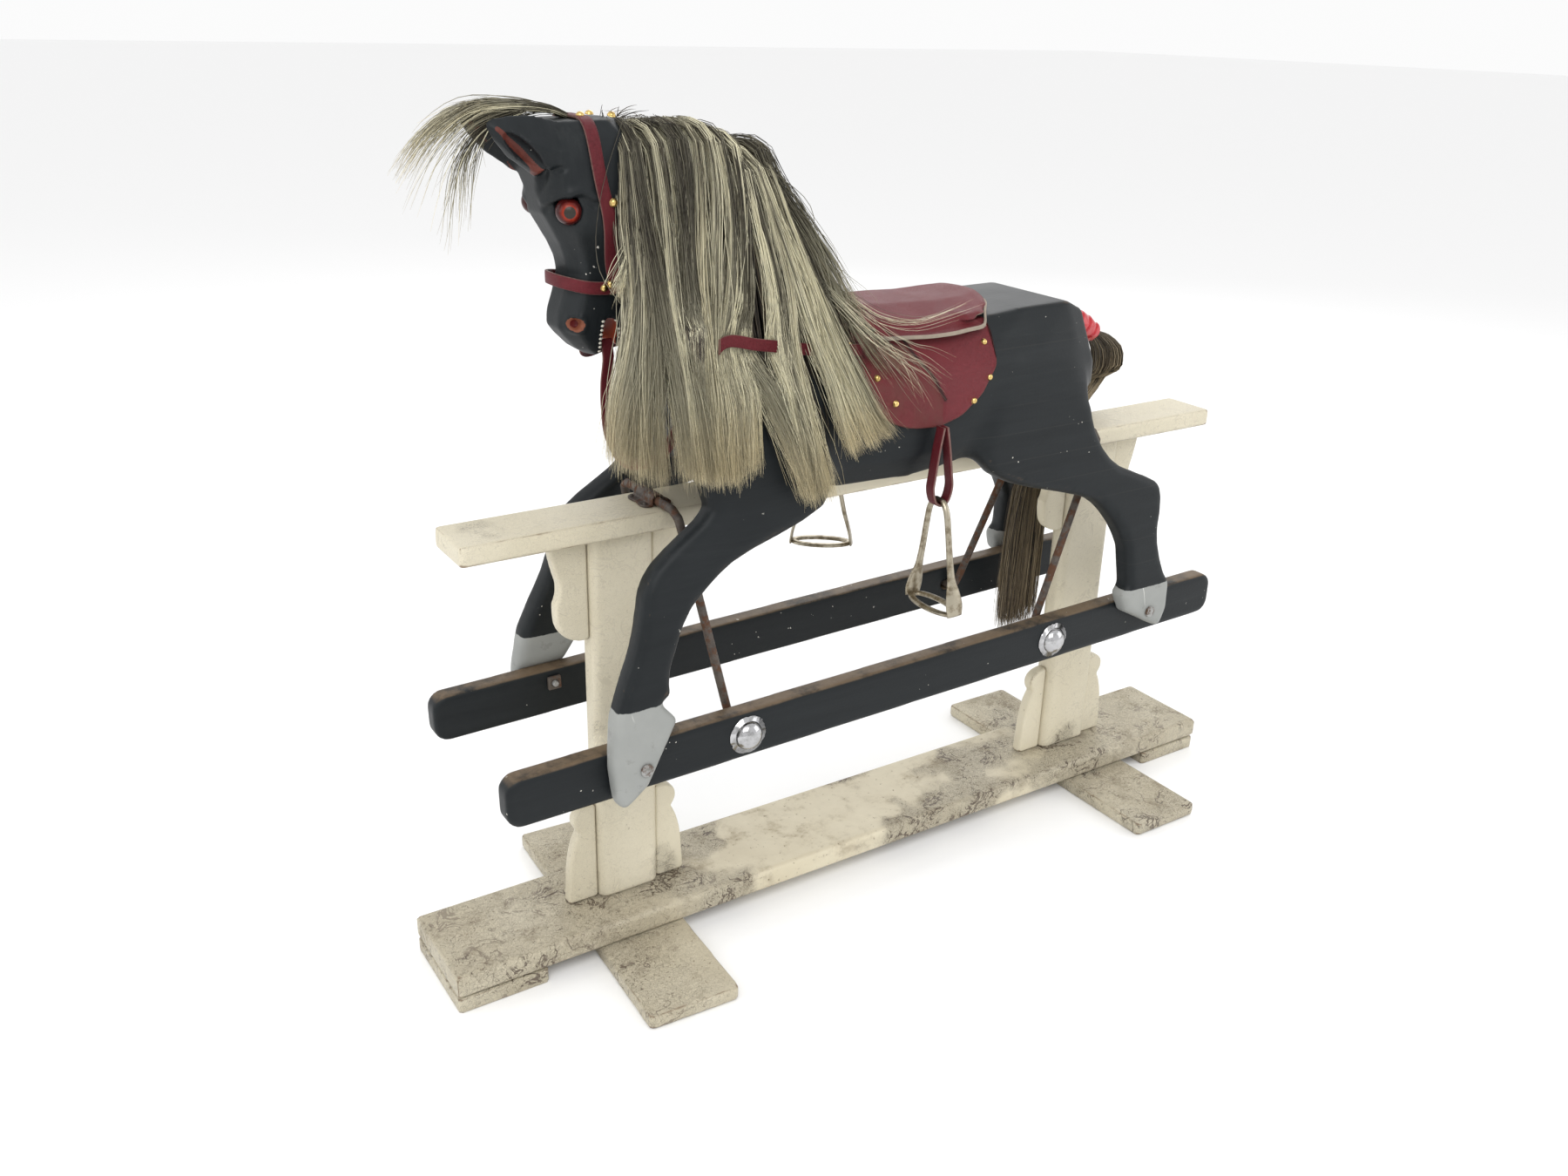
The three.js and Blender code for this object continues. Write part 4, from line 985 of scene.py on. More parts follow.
# The reins' routes in the horse frame: mouth corner, slack in front of the neck, back to the saddle.
REINS = {
    "left": [(-396, -24, 806), (-398, -32, 786), (-408, -45, 762), (-413, -54, 736), (-414, -64, 705),
             (-404, -84, 680), (-378, -108, 688), (-350, -112, 728), (-322, -108, 772), (-288, -99, 803),
             (-241, -99, 795), (-167, -103, 781), (-98, -101, 772)],
    "right": [(-396, 24, 806), (-396, 34, 786), (-382, 54, 774), (-340, 74, 776), (-290, 88, 778),
              (-220, 100, 786), (-160, 104, 783), (-98, 101, 772)],
}


def make_rein(hand):
    """A flat strap that lies with its face to the horse's side."""
    path = spline(REINS[hand], np.linspace(0, 1, 110))
    along = unit(np.gradient(path, axis=0))
    width_way = np.cross((0, 1, 0), along)
    outward = np.cross(along, width_way) * -SIDES[hand]
    mesh = strap_mesh(hand + "_rein_strap", horse_points(path), outward, width=14 * MM, thick=2.6 * MM)
    stand_in(hand + "_rein_strap", mesh, LEATHER_RED, hand + "_rein")


make_teeth()
make_noseband()
make_headpiece()
make_bridle_studs()
for hand in SIDES:
    make_rein(hand)


# ---------------------------------------------------------------- saddle

# A flap's lower edge as two curves set by (x, z), from its front top corner to its rear one.
FLAP_TOP = 780
FLAP_TUCK = 8                 # how far the leather runs up under the seat
FLAP_INNER, FLAP_OUTER = 0.9, 4.0     # how far its two faces stand off the torso
FLAP_FRONT = [(-112, FLAP_TOP), (-112, 693), (-60, 665), (6, 665)]
FLAP_REAR = [(6, 665), (64, 665), (112, 719), (106, FLAP_TOP)]
FLAP_NAIL_RADIUS = 4.1 * MM
FLAP_NAILS = [(-105, 774), (-84, 738), (-58, 704), (66, 690), (90, 717), (92, 758)]
FLAP_SEAM = [(-34, 786), (-18, 752), (2, 722), (18, 698)]


def bezier(points, share):
    a, b, c, d = (np.array(p, float) for p in points)
    s = share[:, None]
    return a * (1 - s) ** 3 + 3 * b * s * (1 - s) ** 2 + 3 * c * s**2 * (1 - s) + d * s**3


def flap_surface(side, x, z):
    """The torso's side at (x, z), in the horse frame."""
    return seen_from(body_tree, (x, side * 190, z), (x, side * 20, z))[1]


def line_side(points, line):
    """How far behind a downward line of (x, z) points each point is, along x."""
    x, z = np.array(line[::-1]).T
    return points[..., 0] - np.interp(points[..., 2], z, x)


def make_flap(hand):
    """A leather flap laid on the torso, a little proud along its lower edge."""
    side = SIDES[hand]
    share = np.linspace(0, 1, 60)
    low = np.concatenate((bezier(FLAP_FRONT, share), bezier(FLAP_REAR, share)[1:]))
    columns = len(low)
    rows = 42
    top = np.linspace(low[0] + (0, FLAP_TUCK), low[-1] + (0, FLAP_TUCK), columns)
    down = np.linspace(0, 1, rows)
    grid = top[None] + (low - top)[None] * down[:, None, None]
    base = np.array([[flap_surface(side, x, z) for x, z in row] for row in grid])
    points = np.stack((grid[..., 0], base, grid[..., 1]), axis=2)
    seam = line_distance(points, FLAP_SEAM)
    edge = ramp(1 - down, 0, 0.12)[:, None]
    curl = 1.6 * (1 - edge) * (1 + 0.5 * np.sin(np.arange(columns) * 0.45))
    ahead = ramp(line_side(points, FLAP_SEAM), 3.0, -3.0)
    ridge = (2.2 * hump(seam, 4.0) + 1.4 * (1 - ahead)) * edge
    inner = points.copy()
    inner[..., 1] += side * (FLAP_INNER + 0.6 * curl)
    outer = points.copy()
    outer[..., 1] += side * (FLAP_OUTER + curl + ridge)
    outer[:, 0, 0] += 0.6
    outer[:, -1, 0] -= 0.6
    outer[-1, :, 2] += 0.8
    loops = np.concatenate((inner, outer[:, ::-1]), axis=1)
    mesh = ring_mesh(hand + "_flap", horse_points(loops))
    column = np.arange(columns)
    from_ends = np.minimum(column, column[::-1]) * 1.8
    from_edge = np.minimum(from_ends, np.arange(rows)[::-1, None] * 2.6)
    worn = np.maximum(np.exp(-from_edge / 3.0), 0.55 * ahead)
    # A line of painted shade along the fold, on the outer face only.
    fold_shade = hump(seam, 2.8) * edge
    add_attribute(mesh, "wear", np.concatenate((worn, worn[:, ::-1]), axis=1).ravel())
    add_attribute(mesh, "seam", np.concatenate((np.zeros_like(fold_shade), fold_shade[:, ::-1]), axis=1).ravel())
    stand_in(hand + "_flap", mesh, SADDLE_RED, hand + "_saddle_flap")
    spots = [horse_points((x, flap_surface(side, x, z) + side * 4.4, z)) for x, z in FLAP_NAILS]
    slope = [(0, side, 0.35 if z > 735 else 0) for _, z in FLAP_NAILS]
    studs(hand + "_flap_nails", spots, slope, FLAP_NAIL_RADIUS, BRASS, "horse")


SEAT_VOXEL = 2.2 * MM
SEAT_RIM = 779
SEAT_MIDDLE = (5, 0)
SEAT_LEAST = 792              # keeps the leather clear of the torso below it
SEAT_SLOPE = 14               # how much lower it may come at its sides
SEAT_CORNER = 9               # how far its rear corners are drawn out


def make_seat():
    """The padded seat: crowned leather on a thick felted rim."""
    mesh = remeshed(welded_copy("saddle_seat"), SEAT_VOXEL)
    points = to_horse(positions(mesh))
    skirt = ramp(np.abs(points[:, 1]), 84, 92) * (points[:, 2] < SEAT_RIM)
    points[:, 2] += skirt * 0.86 * (SEAT_RIM - points[:, 2])
    place(mesh, horse_points(points))
    softened(mesh, 9)
    points = to_horse(positions(mesh))
    out = normals(mesh)
    dimple = 1.2 * np.sin(points[:, 0] / 17 + 0.6 * np.sin(points[:, 1] / 23)) * np.cos(points[:, 1] / 31)
    place(mesh, positions(mesh) + out * (dimple * ramp(out[:, 2], 0.6, 0.95) * MM)[:, None])
    points = to_horse(positions(mesh))
    least = SEAT_LEAST - SEAT_SLOPE * ramp(np.abs(points[:, 1]), 66, 92)
    points[:, 2] = np.where(out[:, 2] > 0.1, np.maximum(points[:, 2], least), points[:, 2])
    corner = ramp(points[:, 0], 58, 74) * ramp(np.abs(points[:, 1]), 64, 78) * ramp(points[:, 2], 783, 787)
    points[:, 1] += np.sign(points[:, 1]) * SEAT_CORNER * corner
    place(mesh, horse_points(points))
    add_attribute(mesh, "felt", 1 - ramp(out[:, 2], 0.0, 0.3))
    seat = stand_in("padded_seat", mesh, SADDLE_RED, "saddle_seat")
    return seat


def make_seat_rim(seat):
    """The worn felt edge that shows all round under the seat."""
    points = to_horse(positions(seat.data))
    away = points[:, :2] - SEAT_MIDDLE
    heading = np.arctan2(away[:, 1], away[:, 0])
    reach = np.linalg.norm(away, axis=1)
    path = []
    for angle in np.linspace(-np.pi, np.pi, 90, endpoint=False):
        near = np.abs((heading - angle + np.pi) % (2 * np.pi) - np.pi) < 0.06
        path.append(points[near][np.argmax(reach[near])])
    path = evened(np.array(path), 3, True)
    outward = path * (1, 1, 0) - (*SEAT_MIDDLE, 0)
    mesh = strap_mesh("seat_rim", horse_points(path), unit(outward),
                      width=4.6 * MM, thick=3.0 * MM, closed=True)
    new_piece("seat_rim", mesh, FELT, "horse")


make_seat_rim(make_seat())
for hand in SIDES:
    make_flap(hand)


# ---------------------------------------------------------------- stirrups

STIRRUP_X = 8
STIRRUP_Y = 130.5
STIRRUP_TURN = {"left": 0.0, "right": 0.9}
LOOP_LOW = 566
STIRRUP_TOP = LOOP_LOW + 6.0
# One side of the leather's loop from its top down, as (x, height).
LOOP_SIDE = [(-2.6, 668), (-8, 640), (-13, 606), (-15, 588), (-10, 571), (0, LOOP_LOW)]
# Half of the bow from its crown down: out from the middle, height, width of the bar there.
BOW = [(0, 0, 8.5), (9, -1.5, 8.5), (17, -14, 9.0), (22, -38, 9.0), (27, -68, 9.5), (33, -98, 12.0),
       (38, -116, 22.0), (42, -132, 27.0), (44, -146, 24.0)]
TREAD_X, TREAD_Y = 15.5, 40.5
TREAD_Z = STIRRUP_TOP - 145


def stirrup_place(hand, points):
    """Points about the stirrup's own upright, in millimetres, to the row frame."""
    turn = Matrix.Rotation(STIRRUP_TURN[hand], 3, "Z")
    return horse_points(points @ np.array(turn).T + (STIRRUP_X, SIDES[hand] * STIRRUP_Y, 0))


def make_stirrup_leather(hand):
    """The strap that hangs in a loop, down one side of the iron's crown and up the other."""
    loop = LOOP_SIDE + [(-x, z) for x, z in LOOP_SIDE[-2::-1]]
    path = spline([(x, 0, z) for x, z in loop], np.linspace(0, 1, 64))
    along = unit(np.gradient(path, axis=0))
    outward = np.cross(along, (0, 1, 0))
    turned = unit(stirrup_place(hand, path + outward) - stirrup_place(hand, path))
    mesh = strap_mesh(hand + "_leather_loop", stirrup_place(hand, path), turned,
                      width=15 * MM, thick=3.2 * MM)
    stand_in(hand + "_leather_loop", mesh, LEATHER_RED, hand + "_stirrup_leather")


def make_stirrup_iron(hand):
    """A cast bow whose branches broaden into plates, with a ring-shaped tread between them."""
    half = np.array(BOW)
    whole = np.concatenate((half[:0:-1] * (-1, 1, 1), half))
    y, z, width = spline(whole, np.linspace(0, 1, 80)).T
    path = np.stack((0 * y, y, z + STIRRUP_TOP), axis=1)
    out = np.cross(unit(np.gradient(path, axis=0)), (1, 0, 0))
    thick = np.interp(width, [9, 27], [3.4, 2.4])
    bow = oval_rings(path, (1, 0, 0), width[:, None] / 2, out, thick[:, None], 16)
    turn = circle(56)
    centre = np.stack((TREAD_X * np.cos(turn), TREAD_Y * np.sin(turn), 0 * turn + TREAD_Z), axis=1)
    tread = oval_rings(centre, unit(centre * (1, 0.35, 0)), 5.2, (0, 0, 1), 3.0, 16)
    parts = [ring_mesh("bow", stirrup_place(hand, bow)),
             ring_mesh("tread", stirrup_place(hand, tread), closed=True)]
    name = hand + "_stirrup_casting"
    stand_in(name, joined(name, parts), NICKEL, hand + "_stirrup_iron")


for hand in SIDES:
    make_stirrup_leather(hand)
    make_stirrup_iron(hand)


# ---------------------------------------------------------------- irons and fastenings

IRON_VOXEL = 1.5 * MM
BEARING_VOXEL = 1.1 * MM
BOLT_VOXEL = 0.9 * MM
NUT_VOXEL = 0.8 * MM
SCREW_RADIUS = 2.6 * MM


def make_dome_cap(hand, end):
    """A pressed cap with a ragged flange."""
    node = f"{hand}_{end}_dome_cap"
    low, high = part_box(node)
    side = SIDES[hand]
    inner = high.y if side < 0 else low.y
    spot = ((low.x + high.x) / 2, inner, (low.z + high.z) / 2)
    flange = (high.x - low.x) / 2
    height = high.y - low.y
    around = 48
    ragged = rng.normal(0, 0.022, around) + 0.03 * np.sin(np.arange(around) * 0.8 + len(node))
    ragged = np.minimum(ragged, 0.0)
    profile = dome_profile(flange * 0.84, height - 1.2 * MM, flange * 1.14, 1.2 * MM)
    mesh = turned_mesh(node, profile, (0, side, 0), spot, around, ragged)
    stand_in(node + "_pressing", mesh, CHROME, node)


def make_bearing(end):
    """A cast plate over the iron, with a screw at each of its four corners."""
    node = end + "_iron_bearing"
    carved(node, BEARING_VOXEL, 3, RUSTY)
    low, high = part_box(node)
    middle = (low + high) / 2
    reach = 0.36 * (high - low)
    spots = [(middle.x + i * reach.x, middle.y + j * reach.y, low.z + 3 * MM)
             for i in (-1, 1) for j in (-1, 1)]
    studs(end + "_bearing_screws", spots, [(0, 0, 1)] * 4, SCREW_RADIUS, RUSTY,
          body_of(node))


for end in ("front", "rear"):
    make_bearing(end)
    carved(end + "_swing_iron", IRON_VOXEL, 4, RUSTY)
    for hand in SIDES:
        make_dome_cap(hand, end)
        carved(f"{hand}_{end}_hoof_bolt", BOLT_VOXEL, 2, HOOF_SCREW)
        carved(f"{hand}_{end}_square_nut", NUT_VOXEL, 3, RUSTY)


# ---------------------------------------------------------------- tail dock

DOCK = [(303, 0, 752), (322, 0, 746), (345, 0, 737), (366, 0, 727), (386, 0, 716)]
DOCK_RADIUS = [19, 19.5, 19, 17.5, 14]
DOCK_TURNS = 5


def make_ribbon():
    """Ribbon wound round the dock: each turn overlaps the last, with a crumpled tuck."""
    share = np.linspace(0, 1, 120)
    path = spline(DOCK, share)
    along = unit(np.gradient(path, axis=0))
    side = (0, 1, 0)
    up = unit(np.cross(along, side))
    around = 40
    angle = circle(around)
    radius = np.interp(share, np.linspace(0, 1, len(DOCK_RADIUS)), DOCK_RADIUS)[:, None]
    share = share[:, None]
    winding = (share * DOCK_TURNS + angle / (2 * math.pi)) % 1
    crumple = 0.5 * np.sin(5 * angle + 17 * share) + 0.4 * np.sin(3 * angle - 31 * share)
    reach = radius - 1.9 * winding**2 + 0.7 * crumple - 0.4
    rings = oval_rings(path, side, reach, up, reach, around)
    mesh = ring_mesh("wound_ribbon", horse_points(rings))
    stand_in("wound_ribbon", mesh, RIBBON, "tail_ribbon")


make_ribbon()


# ---------------------------------------------------------------- hair

MOST_TRIANGLES = 190_000
STRAND_SIDES = 3


def strand_mesh(name, paths, radius, tone, shade):
    """Thin tapered tubes along paths, in the row frame."""
    count, steps, _ = paths.shape
    along = unit(np.gradient(paths, axis=1))
    out = unit(np.cross(along, (1, 0.05, 0.02)))
    side = np.cross(along, out)
    share = np.linspace(0, 1, steps)
    width = (radius[:, None] * np.clip(1.15 - share**4, 0.2, 1))[..., None]
    ring = [paths + (out * math.cos(angle) + side * math.sin(angle)) * width
            for angle in circle(STRAND_SIDES)]
    vertices = np.stack(ring, axis=2).reshape(-1, 3)
    base = (np.arange(count)[:, None, None] * steps + np.arange(steps - 1)[:, None]) * STRAND_SIDES
    corner = np.arange(STRAND_SIDES)
    a = base + corner
    b = base + (corner + 1) % STRAND_SIDES
    faces = np.stack((a, b, b + STRAND_SIDES, a + STRAND_SIDES), axis=3).reshape(-1, 4)
    mesh = bpy.data.meshes.new(name)
    mesh.from_pydata(vertices.tolist(), [], faces.tolist())
    add_attribute(mesh, "tone", np.repeat(tone, steps * STRAND_SIDES))
    add_attribute(mesh, "shade", np.repeat(shade, steps * STRAND_SIDES))
    add_attribute(mesh, "along", np.tile(np.repeat(share, STRAND_SIDES), count))
    smooth_shaded(mesh)
    return mesh


def strands(name, paths, radius, tone, shade, material):
    """Tapered hairs along paths, (strand, point, xyz) in the horse frame, split into pieces."""
    made = []
    paths = horse_points(paths)
    most = MOST_TRIANGLES // (2 * STRAND_SIDES * (paths.shape[1] - 1))
    for part, start in enumerate(range(0, len(paths), most)):
        here = slice(start, start + most)
        label = f"{name}_{part + 1}"
        mesh = strand_mesh(label, paths[here], radius[here] * MM, tone[here], shade[here])
        made.append(new_piece(label, mesh, material, "horse"))
    return made


def wavy(paths, size, turns=2.0):
    """Adds a slow wave to each strand, growing towards its tip."""
    count, steps, _ = paths.shape
    share = np.linspace(0, 1, steps)[None, :, None]
    phase = rng.uniform(0, 2 * np.pi, (count, 1, 3))
    rate = rng.uniform(0.5, 1.5, (count, 1, 3)) * turns * np.pi
    size = np.broadcast_to(size, count)[:, None, None]
    return paths + size * share * np.sin(share * rate + phase) * np.array([1, 0.5, 0.4])


def along_route(route, share, reach):
    """One path for each hair along the same route, as far as its own reach."""
    return np.stack([spline(route, share * r) for r in reach])


# Locks of the mane from the jaw to the withers: (x, z) from root to tip, darkness, half width.
MANE_LOCKS = [
    ([(-371, 1027), (-381, 985), (-387, 938), (-390, 891), (-396, 846), (-410, 800),
      (-429, 753), (-443, 696)], 0.65, 4),
    ([(-369, 1027), (-377, 985), (-382, 938), (-384, 890), (-389, 838), (-402, 786),
      (-418, 733), (-428, 685)], 0.50, 6),
    ([(-367, 1027), (-372, 984), (-374, 937), (-376, 889), (-380, 836), (-390, 784),
      (-401, 730), (-410, 675)], 0.60, 7),
    ([(-367, 1027), (-369, 984), (-371, 936), (-372, 880), (-374, 826), (-380, 773),
      (-387, 719), (-392, 664)], 0.85, 7),
    ([(-366, 1033), (-367, 993), (-366, 941), (-363, 886), (-360, 829), (-356, 770),
      (-355, 714), (-356, 662)], 0.05, 7),
    ([(-346, 1030), (-341, 991), (-342, 939), (-346, 884), (-346, 828), (-342, 768),
      (-341, 712), (-342, 660)], 0.40, 8),
    ([(-333, 1030), (-322, 999), (-322, 950), (-327, 893), (-331, 835), (-330, 776),
      (-331, 715), (-333, 657)], 0.15, 8),
    ([(-315, 1031), (-308, 998), (-311, 950), (-319, 892), (-322, 834), (-320, 774),
      (-321, 714), (-324, 655)], 0.65, 8),
    ([(-296, 1031), (-288, 993), (-295, 935), (-303, 878), (-309, 824), (-311, 764),
      (-313, 708), (-315, 653)], 0.05, 8),
    ([(-285, 1030), (-274, 996), (-276, 948), (-286, 890), (-293, 836), (-298, 771),
      (-302, 711), (-306, 652)], 0.40, 7),
    ([(-273, 1024), (-257, 991), (-256, 942), (-263, 888), (-275, 838), (-279, 783),
      (-284, 718), (-292, 651)], 0.05, 9),
    ([(-260, 1017), (-243, 986), (-245, 936), (-252, 882), (-261, 828), (-265, 767),
      (-271, 711), (-277, 659)], 0.20, 7),
    ([(-253, 1013), (-246, 968), (-250, 909), (-258, 850), (-258, 795), (-239, 737),
      (-218, 677), (-203, 618)], 0.10, 8),
    ([(-247, 1008), (-231, 958), (-220, 902), (-214, 846), (-212, 789), (-208, 731),
      (-202, 676), (-196, 614)], 0.10, 9),
    ([(-242, 1006), (-221, 956), (-210, 902), (-202, 845), (-206, 788), (-201, 730),
      (-191, 670), (-181, 613)], 0.35, 6),
    ([(-240, 1005), (-214, 962), (-197, 912), (-183, 857), (-169, 798), (-153, 745),
      (-142, 697), (-132, 660)], 0.10, 8),
    ([(-235, 1003), (-205, 961), (-186, 909), (-169, 851), (-153, 795), (-134, 744),
      (-118, 700), (-104, 664)], 0.10, 8),
    ([(-231, 1000), (-198, 956), (-178, 904), (-155, 842), (-137, 787), (-117, 738),
      (-99, 700), (-80, 671)], 0.40, 7),
    ([(-231, 1005), (-201, 967), (-174, 922), (-150, 878), (-132, 840), (-118, 805),
      (-94, 765), (-62, 721)], 0.95, 7),
    ([(-228, 1007), (-196, 971), (-167, 924), (-141, 879), (-119, 836), (-103, 804),
      (-69, 757), (-22, 703)], 0.98, 8),
]
MANE_STEPS = 18
HAIRS_IN_LOCK = 280
WISPS_IN_LOCK = 9
STRAGGLING = 0.9              # locks darker than this are thin and uneven
REIN_LEVEL = 798
REIN_OVER = (-314, -280, -224, -212)  # the stretch of x where the rein presses the hair in
HAIR_OVER = (-366, -340, -324, -296)  # the stretch where the hair hangs over the rein
HAIR_OVER_HEIGHT = (680, 710, 825, 850)
INSIDE_REIN, OUTSIDE_REIN = -91, -114


def lean(z):
    """How far left of the middle the hair hangs at height z."""
    return -(27 + 0.265 * (1040 - z))


def hung(flat, depth, share):
    """Points (x, z) laid on the leaning side of the neck, springing from the crest."""
    x, z = flat[..., 0], flat[..., 1]
    z = z + (5 + 15 * depth[:, None]) * np.sin(np.pi * np.clip(share / 0.2, 0, 1))
    arch = ramp(share, 0, 0.14)
    y = blend(rng.normal(0, 7, len(flat))[:, None], lean(z) - (2 + 20 * depth[:, None]), arch)
    return np.stack((x, y, z), axis=2)


def under_rein(paths):
    """The slack rein lies over the hair along one stretch and under it in front of that."""
    x, y, z = paths[..., 0], paths[..., 1], paths[..., 2]
    pressed = band(x, REIN_OVER) * np.exp(-(((z - REIN_LEVEL) / 34) ** 4))
    y = blend(y, np.maximum(y, INSIDE_REIN), pressed)
    over = band(x, HAIR_OVER) * band(z, HAIR_OVER_HEIGHT)
    paths[..., 1] = blend(y, np.minimum(y, OUTSIDE_REIN), over)
    return paths


def make_mane():
    """Each lock parts into wisps that hang at their own depth, pale or dark."""
    share = np.linspace(0, 1, MANE_STEPS) ** 1.4
    every = []
    tones = []
    shades = []
    for points, darkness, width in MANE_LOCKS:
        straggling = darkness > STRAGGLING
        count = round(HAIRS_IN_LOCK * (0.34 if straggling else 1.0))
        wisp = rng.integers(0, WISPS_IN_LOCK, count)
        aside = rng.uniform(-1, 1, WISPS_IN_LOCK) * width
        depth = rng.uniform(0.05, 1, WISPS_IN_LOCK)
        reach = np.minimum(rng.normal(0.985, 0.012, count), 1.005)
        if straggling:
            reach = rng.uniform(0.45, 1, count)
        flat = along_route(points, share, reach)
        flat[..., 0] += aside[wisp][:, None] * (0.75 + 0.45 * share**2)
        paths = wavy(hung(flat, depth[wisp], share), 3.0, 1.2)
        loose = rng.uniform(0, 1, count) < 0.13
        spread = rng.normal(0, 1, (count, 1, 3)) * (2.0, 1.8, 3.0)
        paths = paths + spread * (0.7 + 0.8 * share[:, None] ** 2)
        every.append(wavy(paths, np.where(loose, 15.0, 2.0), 2.4))
        dark_wisp = rng.uniform(0, 1, WISPS_IN_LOCK) < darkness + 0.14
        is_dark = dark_wisp[wisp] | (rng.uniform(0, 1, count) < 0.22)
        pale_shade = 0.5 * darkness * rng.uniform(0.5, 1, count) + rng.uniform(0, 0.12, count)
        shades.append(np.where(is_dark, rng.uniform(0.72, 1, count), pale_shade))
        wisp_tone = rng.uniform(0.25, 1, WISPS_IN_LOCK)
        tones.append(np.clip(wisp_tone[wisp] + rng.normal(0, 0.2, count), 0, 1))
    paths = under_rein(np.concatenate(every))
    hairs = strands("mane_hair", paths, rng.uniform(0.22, 0.52, len(paths)), np.concatenate(tones),
                    np.concatenate(shades), PALE_HAIR)
    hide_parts("mane")


def make_mane_shade_layer():
    """Dark brown hair next to the neck: a layer of painted shade that shows between the pale locks."""
    count = 1400
    share = np.linspace(0, 1, MANE_STEPS)
    lines = np.array([spline(points, share) for points, _, _ in MANE_LOCKS])
    pick = rng.integers(0, len(lines) - 1, count)
    part = rng.uniform(0, 1, count)[:, None, None]
    flat = blend(lines[pick], lines[pick + 1], part)
    reach = rng.uniform(0.55, 0.97, count)
    steps = share * reach[:, None] * (MANE_STEPS - 1)
    low = np.minimum(steps.astype(int), MANE_STEPS - 2)
    rest = (steps - low)[..., None]
    row = np.arange(count)[:, None]
    flat = blend(flat[row, low], flat[row, low + 1], rest)
    paths = wavy(hung(flat, np.zeros(count), share), 5)
    paths[..., 1] += rng.uniform(1, 7, count)[:, None]
    # Dark hair laid under the locks as painted shade.
    strands("mane_shade_layer", under_rein(paths), rng.uniform(0.5, 1.2, count), rng.uniform(0, 0.5, count),
            rng.uniform(0.55, 1, count), DARK_HAIR)


# The top of the neck from the poll to the withers, as (x, z), and where along it tufts stand.
CREST = [(-398, 1030), (-352, 1038), (-320, 1040), (-283, 1034), (-240, 1014), (-208, 996), (-178, 970),
         (-150, 940), (-118, 886), (-88, 838)]
TUFT_PLACES = [0.10, 0.15, 0.16, 0.23, 0.30, 0.33, 0.50, 0.53, 0.56, 0.65, 0.74, 0.85]


def make_crest_tufts():
    """Short dark hair standing up out of the crest."""
    count = 800
    centres = np.clip(rng.choice(TUFT_PLACES, count) + rng.normal(0, 0.03, count), 0, 1)
    root = spline(CREST, centres)
    length = rng.gamma(3.0, 5.5, count) + 16 * ramp(-root[:, 0], 180, 280)
    share = np.linspace(0, 1, 7)[None, :]
    tilt = rng.normal(0.15, 0.55, count)
    roll = rng.normal(-0.35, 0.5, count)
    x = root[:, :1] + (length * np.sin(tilt))[:, None] * share + 5 * share**2 * np.sin(tilt * 3)[:, None]
    skin = np.array([seen_from(body_tree, (spot[0], 0, 1200), (spot[0], 0, spot[1]))[2] for spot in root])
    base = np.minimum(root[:, 1] - 8, skin - 2)[:, None]
    z = base + (length * np.cos(tilt))[:, None] * share - (0.010 * length**2)[:, None] * share**2
    y = rng.normal(0, 8, count)[:, None] + (length * np.sin(roll))[:, None] * share
    paths = wavy(np.stack((x, y, z), axis=2), 1.5)
    strands("crest_tufts", paths, rng.uniform(0.3, 0.55, count), rng.uniform(0, 0.4, count),
            rng.uniform(0.5, 1, count), DARK_HAIR)


# Hairs astray over the cheek, the seat, the flap and the jaw: (x, y, z) along their route, how many,
# how far they scatter, and their radius.
STRAYS = [
    ([(-372, -40, 1040), (-406, -60, 985), (-420, -64, 940), (-422, -63, 905), (-414, -62, 878),
      (-392, -66, 845), (-372, -80, 812)], 1, 1.5, 0.45),
    ([(-145, -80, 862), (-110, -98, 829), (-80, -110, 808), (-32, -114, 797), (43, -100, 801),
      (95, -84, 804)], 15, 5.5, 0.22),
    ([(-145, -80, 858), (-110, -110, 815), (-76, -124, 780), (-39, -131, 740),
      (-4, -134, 692)], 22, 10, 0.24),
    ([(-145, -85, 845), (-99, -120, 793), (-60, -130, 765), (-26, -132, 745),
      (20, -134, 712)], 22, 11, 0.24),
    ([(-377, -64, 925), (-388, -74, 905), (-402, -84, 882), (-412, -88, 864)], 120, 4.5, 0.34),
]


def make_strays():
    """A hair on its own runs all along its route without a wave."""
    share = np.linspace(0, 1, 16)
    for index, (points, count, scatter, radius) in enumerate(STRAYS):
        alone = count == 1
        reach = np.ones(1) if alone else rng.uniform(0.7, 1, count)
        paths = along_route(points, share, reach)
        drift = rng.normal(0, 1, (count, 1, 3)) * (1, 0.25, 0.8)
        paths = paths + scatter * drift * (0.4 + share[:, None])
        if not alone:
            paths = wavy(paths, scatter * 0.7)
        strands(f"stray_hair_{index + 1}", paths, np.full(count, radius), rng.uniform(0.6, 1, count),
                rng.choice([0.1, 0.9], count), PALE_HAIR)


FORELOCK_PATH = [(-404, 4, 1034), (-440, 3, 1048), (-487, 2, 1054), (-532, 0, 1051), (-572, -1, 1028),
                 (-604, -2, 992)]
FORELOCK_WISP = [(-470, -6, 1046), (-512, -6, 1032), (-536, -6, 1002), (-548, -6, 962), (-558, -6, 920)]
# Its two parts: name, route, how many hairs, how far they scatter in x, y and z, share that is dark.
FORELOCK = [
    ("forelock_top", FORELOCK_PATH, 360, (3, 8, 2.6), 0.62),
    ("forelock_wisp", FORELOCK_WISP, 60, (7, 7, 3), 0.85),
]
FORELOCK_DROOP = 45


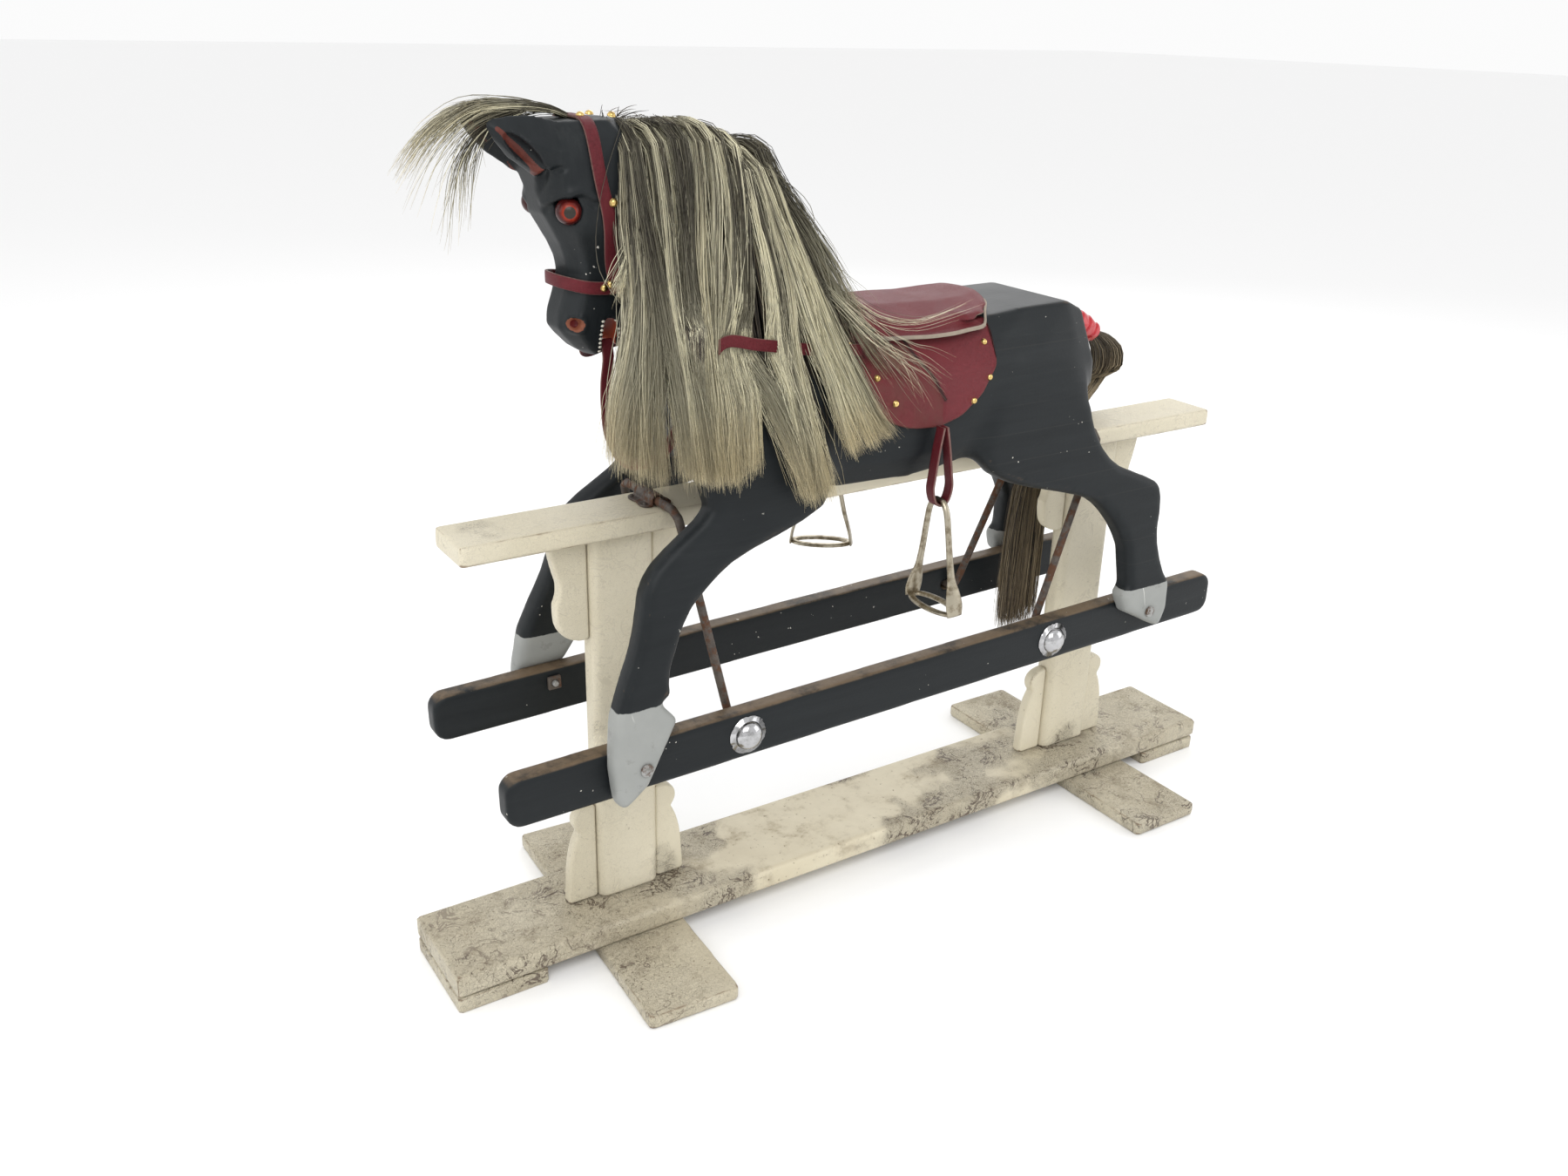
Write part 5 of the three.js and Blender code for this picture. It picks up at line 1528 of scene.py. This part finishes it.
def make_forelock():
    """Stiff hair that stands forwards over the face, and a wisp that falls before it."""
    share = np.linspace(0, 1, 14)
    made = []
    for name, route, count, scatter, dark_share in FORELOCK:
        paths = along_route(route, share, rng.uniform(0.5, 1.02, count))
        spread = rng.normal(0, 1, (count, 1, 3)) * scatter
        paths = paths + spread * (0.35 + 1.1 * share[:, None] ** 1.5)
        droop = rng.uniform(0, 1, count)[:, None] ** 5 * share**2.5
        paths[..., 2] -= droop * FORELOCK_DROOP
        dark = (rng.uniform(0, 1, count) < dark_share) | (spread[:, 0, 2] > 1.0)
        shade = np.where(dark, rng.uniform(0.75, 1, count), rng.uniform(0, 0.3, count))
        made += strands(name, wavy(paths, 4), rng.uniform(0.28, 0.5, count),
                        rng.uniform(0.2, 0.9, count), shade, PALE_HAIR)
    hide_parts("forelock")


TAIL_PATH = [(380, 1, 719), (402, 3, 708), (428, 9, 684), (442, 22, 652), (439, 45, 622), (409, 56, 582),
             (364, 57, 530), (345, 58, 470), (340, 60, 380), (337, 60, 300), (335, 60, 240)]
TAIL_GIRTH = [9, 19, 26, 28, 25, 20, 25, 32, 36, 37, 36]
TAIL_LOCKS = 26
# Below RAIL_CLEAR the hair keeps beside the rail, so that it misses the rail as the horse swings:
# its middle BESIDE_RAIL to the right of the horse's own, and no hair further than BESIDE_HALF from that.
RAIL_CLEAR = 626
BESIDE_RAIL = 56
BESIDE_HALF = 12


def beside_rail(paths):
    """Keeps the hair between the rail and the limb of the swing iron, from above the rail down."""
    y = paths[..., 1]
    held = BESIDE_RAIL + BESIDE_HALF * np.tanh((y - BESIDE_RAIL) / BESIDE_HALF)
    low = 1 - ramp(paths[..., 2], RAIL_CLEAR, RAIL_CLEAR + 22)
    paths[..., 1] = blend(y, held, low)
    return paths


def make_tail():
    """Long locks that bow out behind the dock and then hang straight."""
    count = 2100
    share = np.linspace(0, 1, 22)
    full = rng.uniform(0, 1, count) < 0.7
    reach = np.where(full, rng.uniform(0.95, 1.0, count), rng.uniform(0.75, 1, count))
    paths = along_route(TAIL_PATH, share, reach)
    girth = np.interp(share * reach[:, None], np.linspace(0, 1, len(TAIL_GIRTH)), TAIL_GIRTH)
    lock = rng.integers(0, TAIL_LOCKS, count)
    lock_place = rng.normal(0, 0.5, (TAIL_LOCKS, 2)).clip(-1, 1)
    offset = np.tanh(lock_place[lock] * 0.8 + rng.normal(0, 0.32, (count, 2)))
    paths[..., 0] += offset[:, :1] * girth * 1.1
    paths[..., 1] += offset[:, 1:] * girth * 0.5
    lock_dark = rng.uniform(0, 1, TAIL_LOCKS) < 0.45
    shade = np.where(lock_dark[lock], rng.uniform(0.4, 1, count), rng.uniform(0, 0.35, count))
    loose = rng.uniform(0, 1, count) < 0.08
    paths = beside_rail(wavy(paths, np.where(loose, 8.0, 3.0), 3))
    hairs = strands("tail_hair", paths, rng.uniform(0.45, 0.8, count), rng.uniform(0, 1, count),
                    shade, DARK_HAIR)
    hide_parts("tail")


make_mane()
make_mane_shade_layer()
make_crest_tufts()
make_strays()
make_forelock()
make_tail()
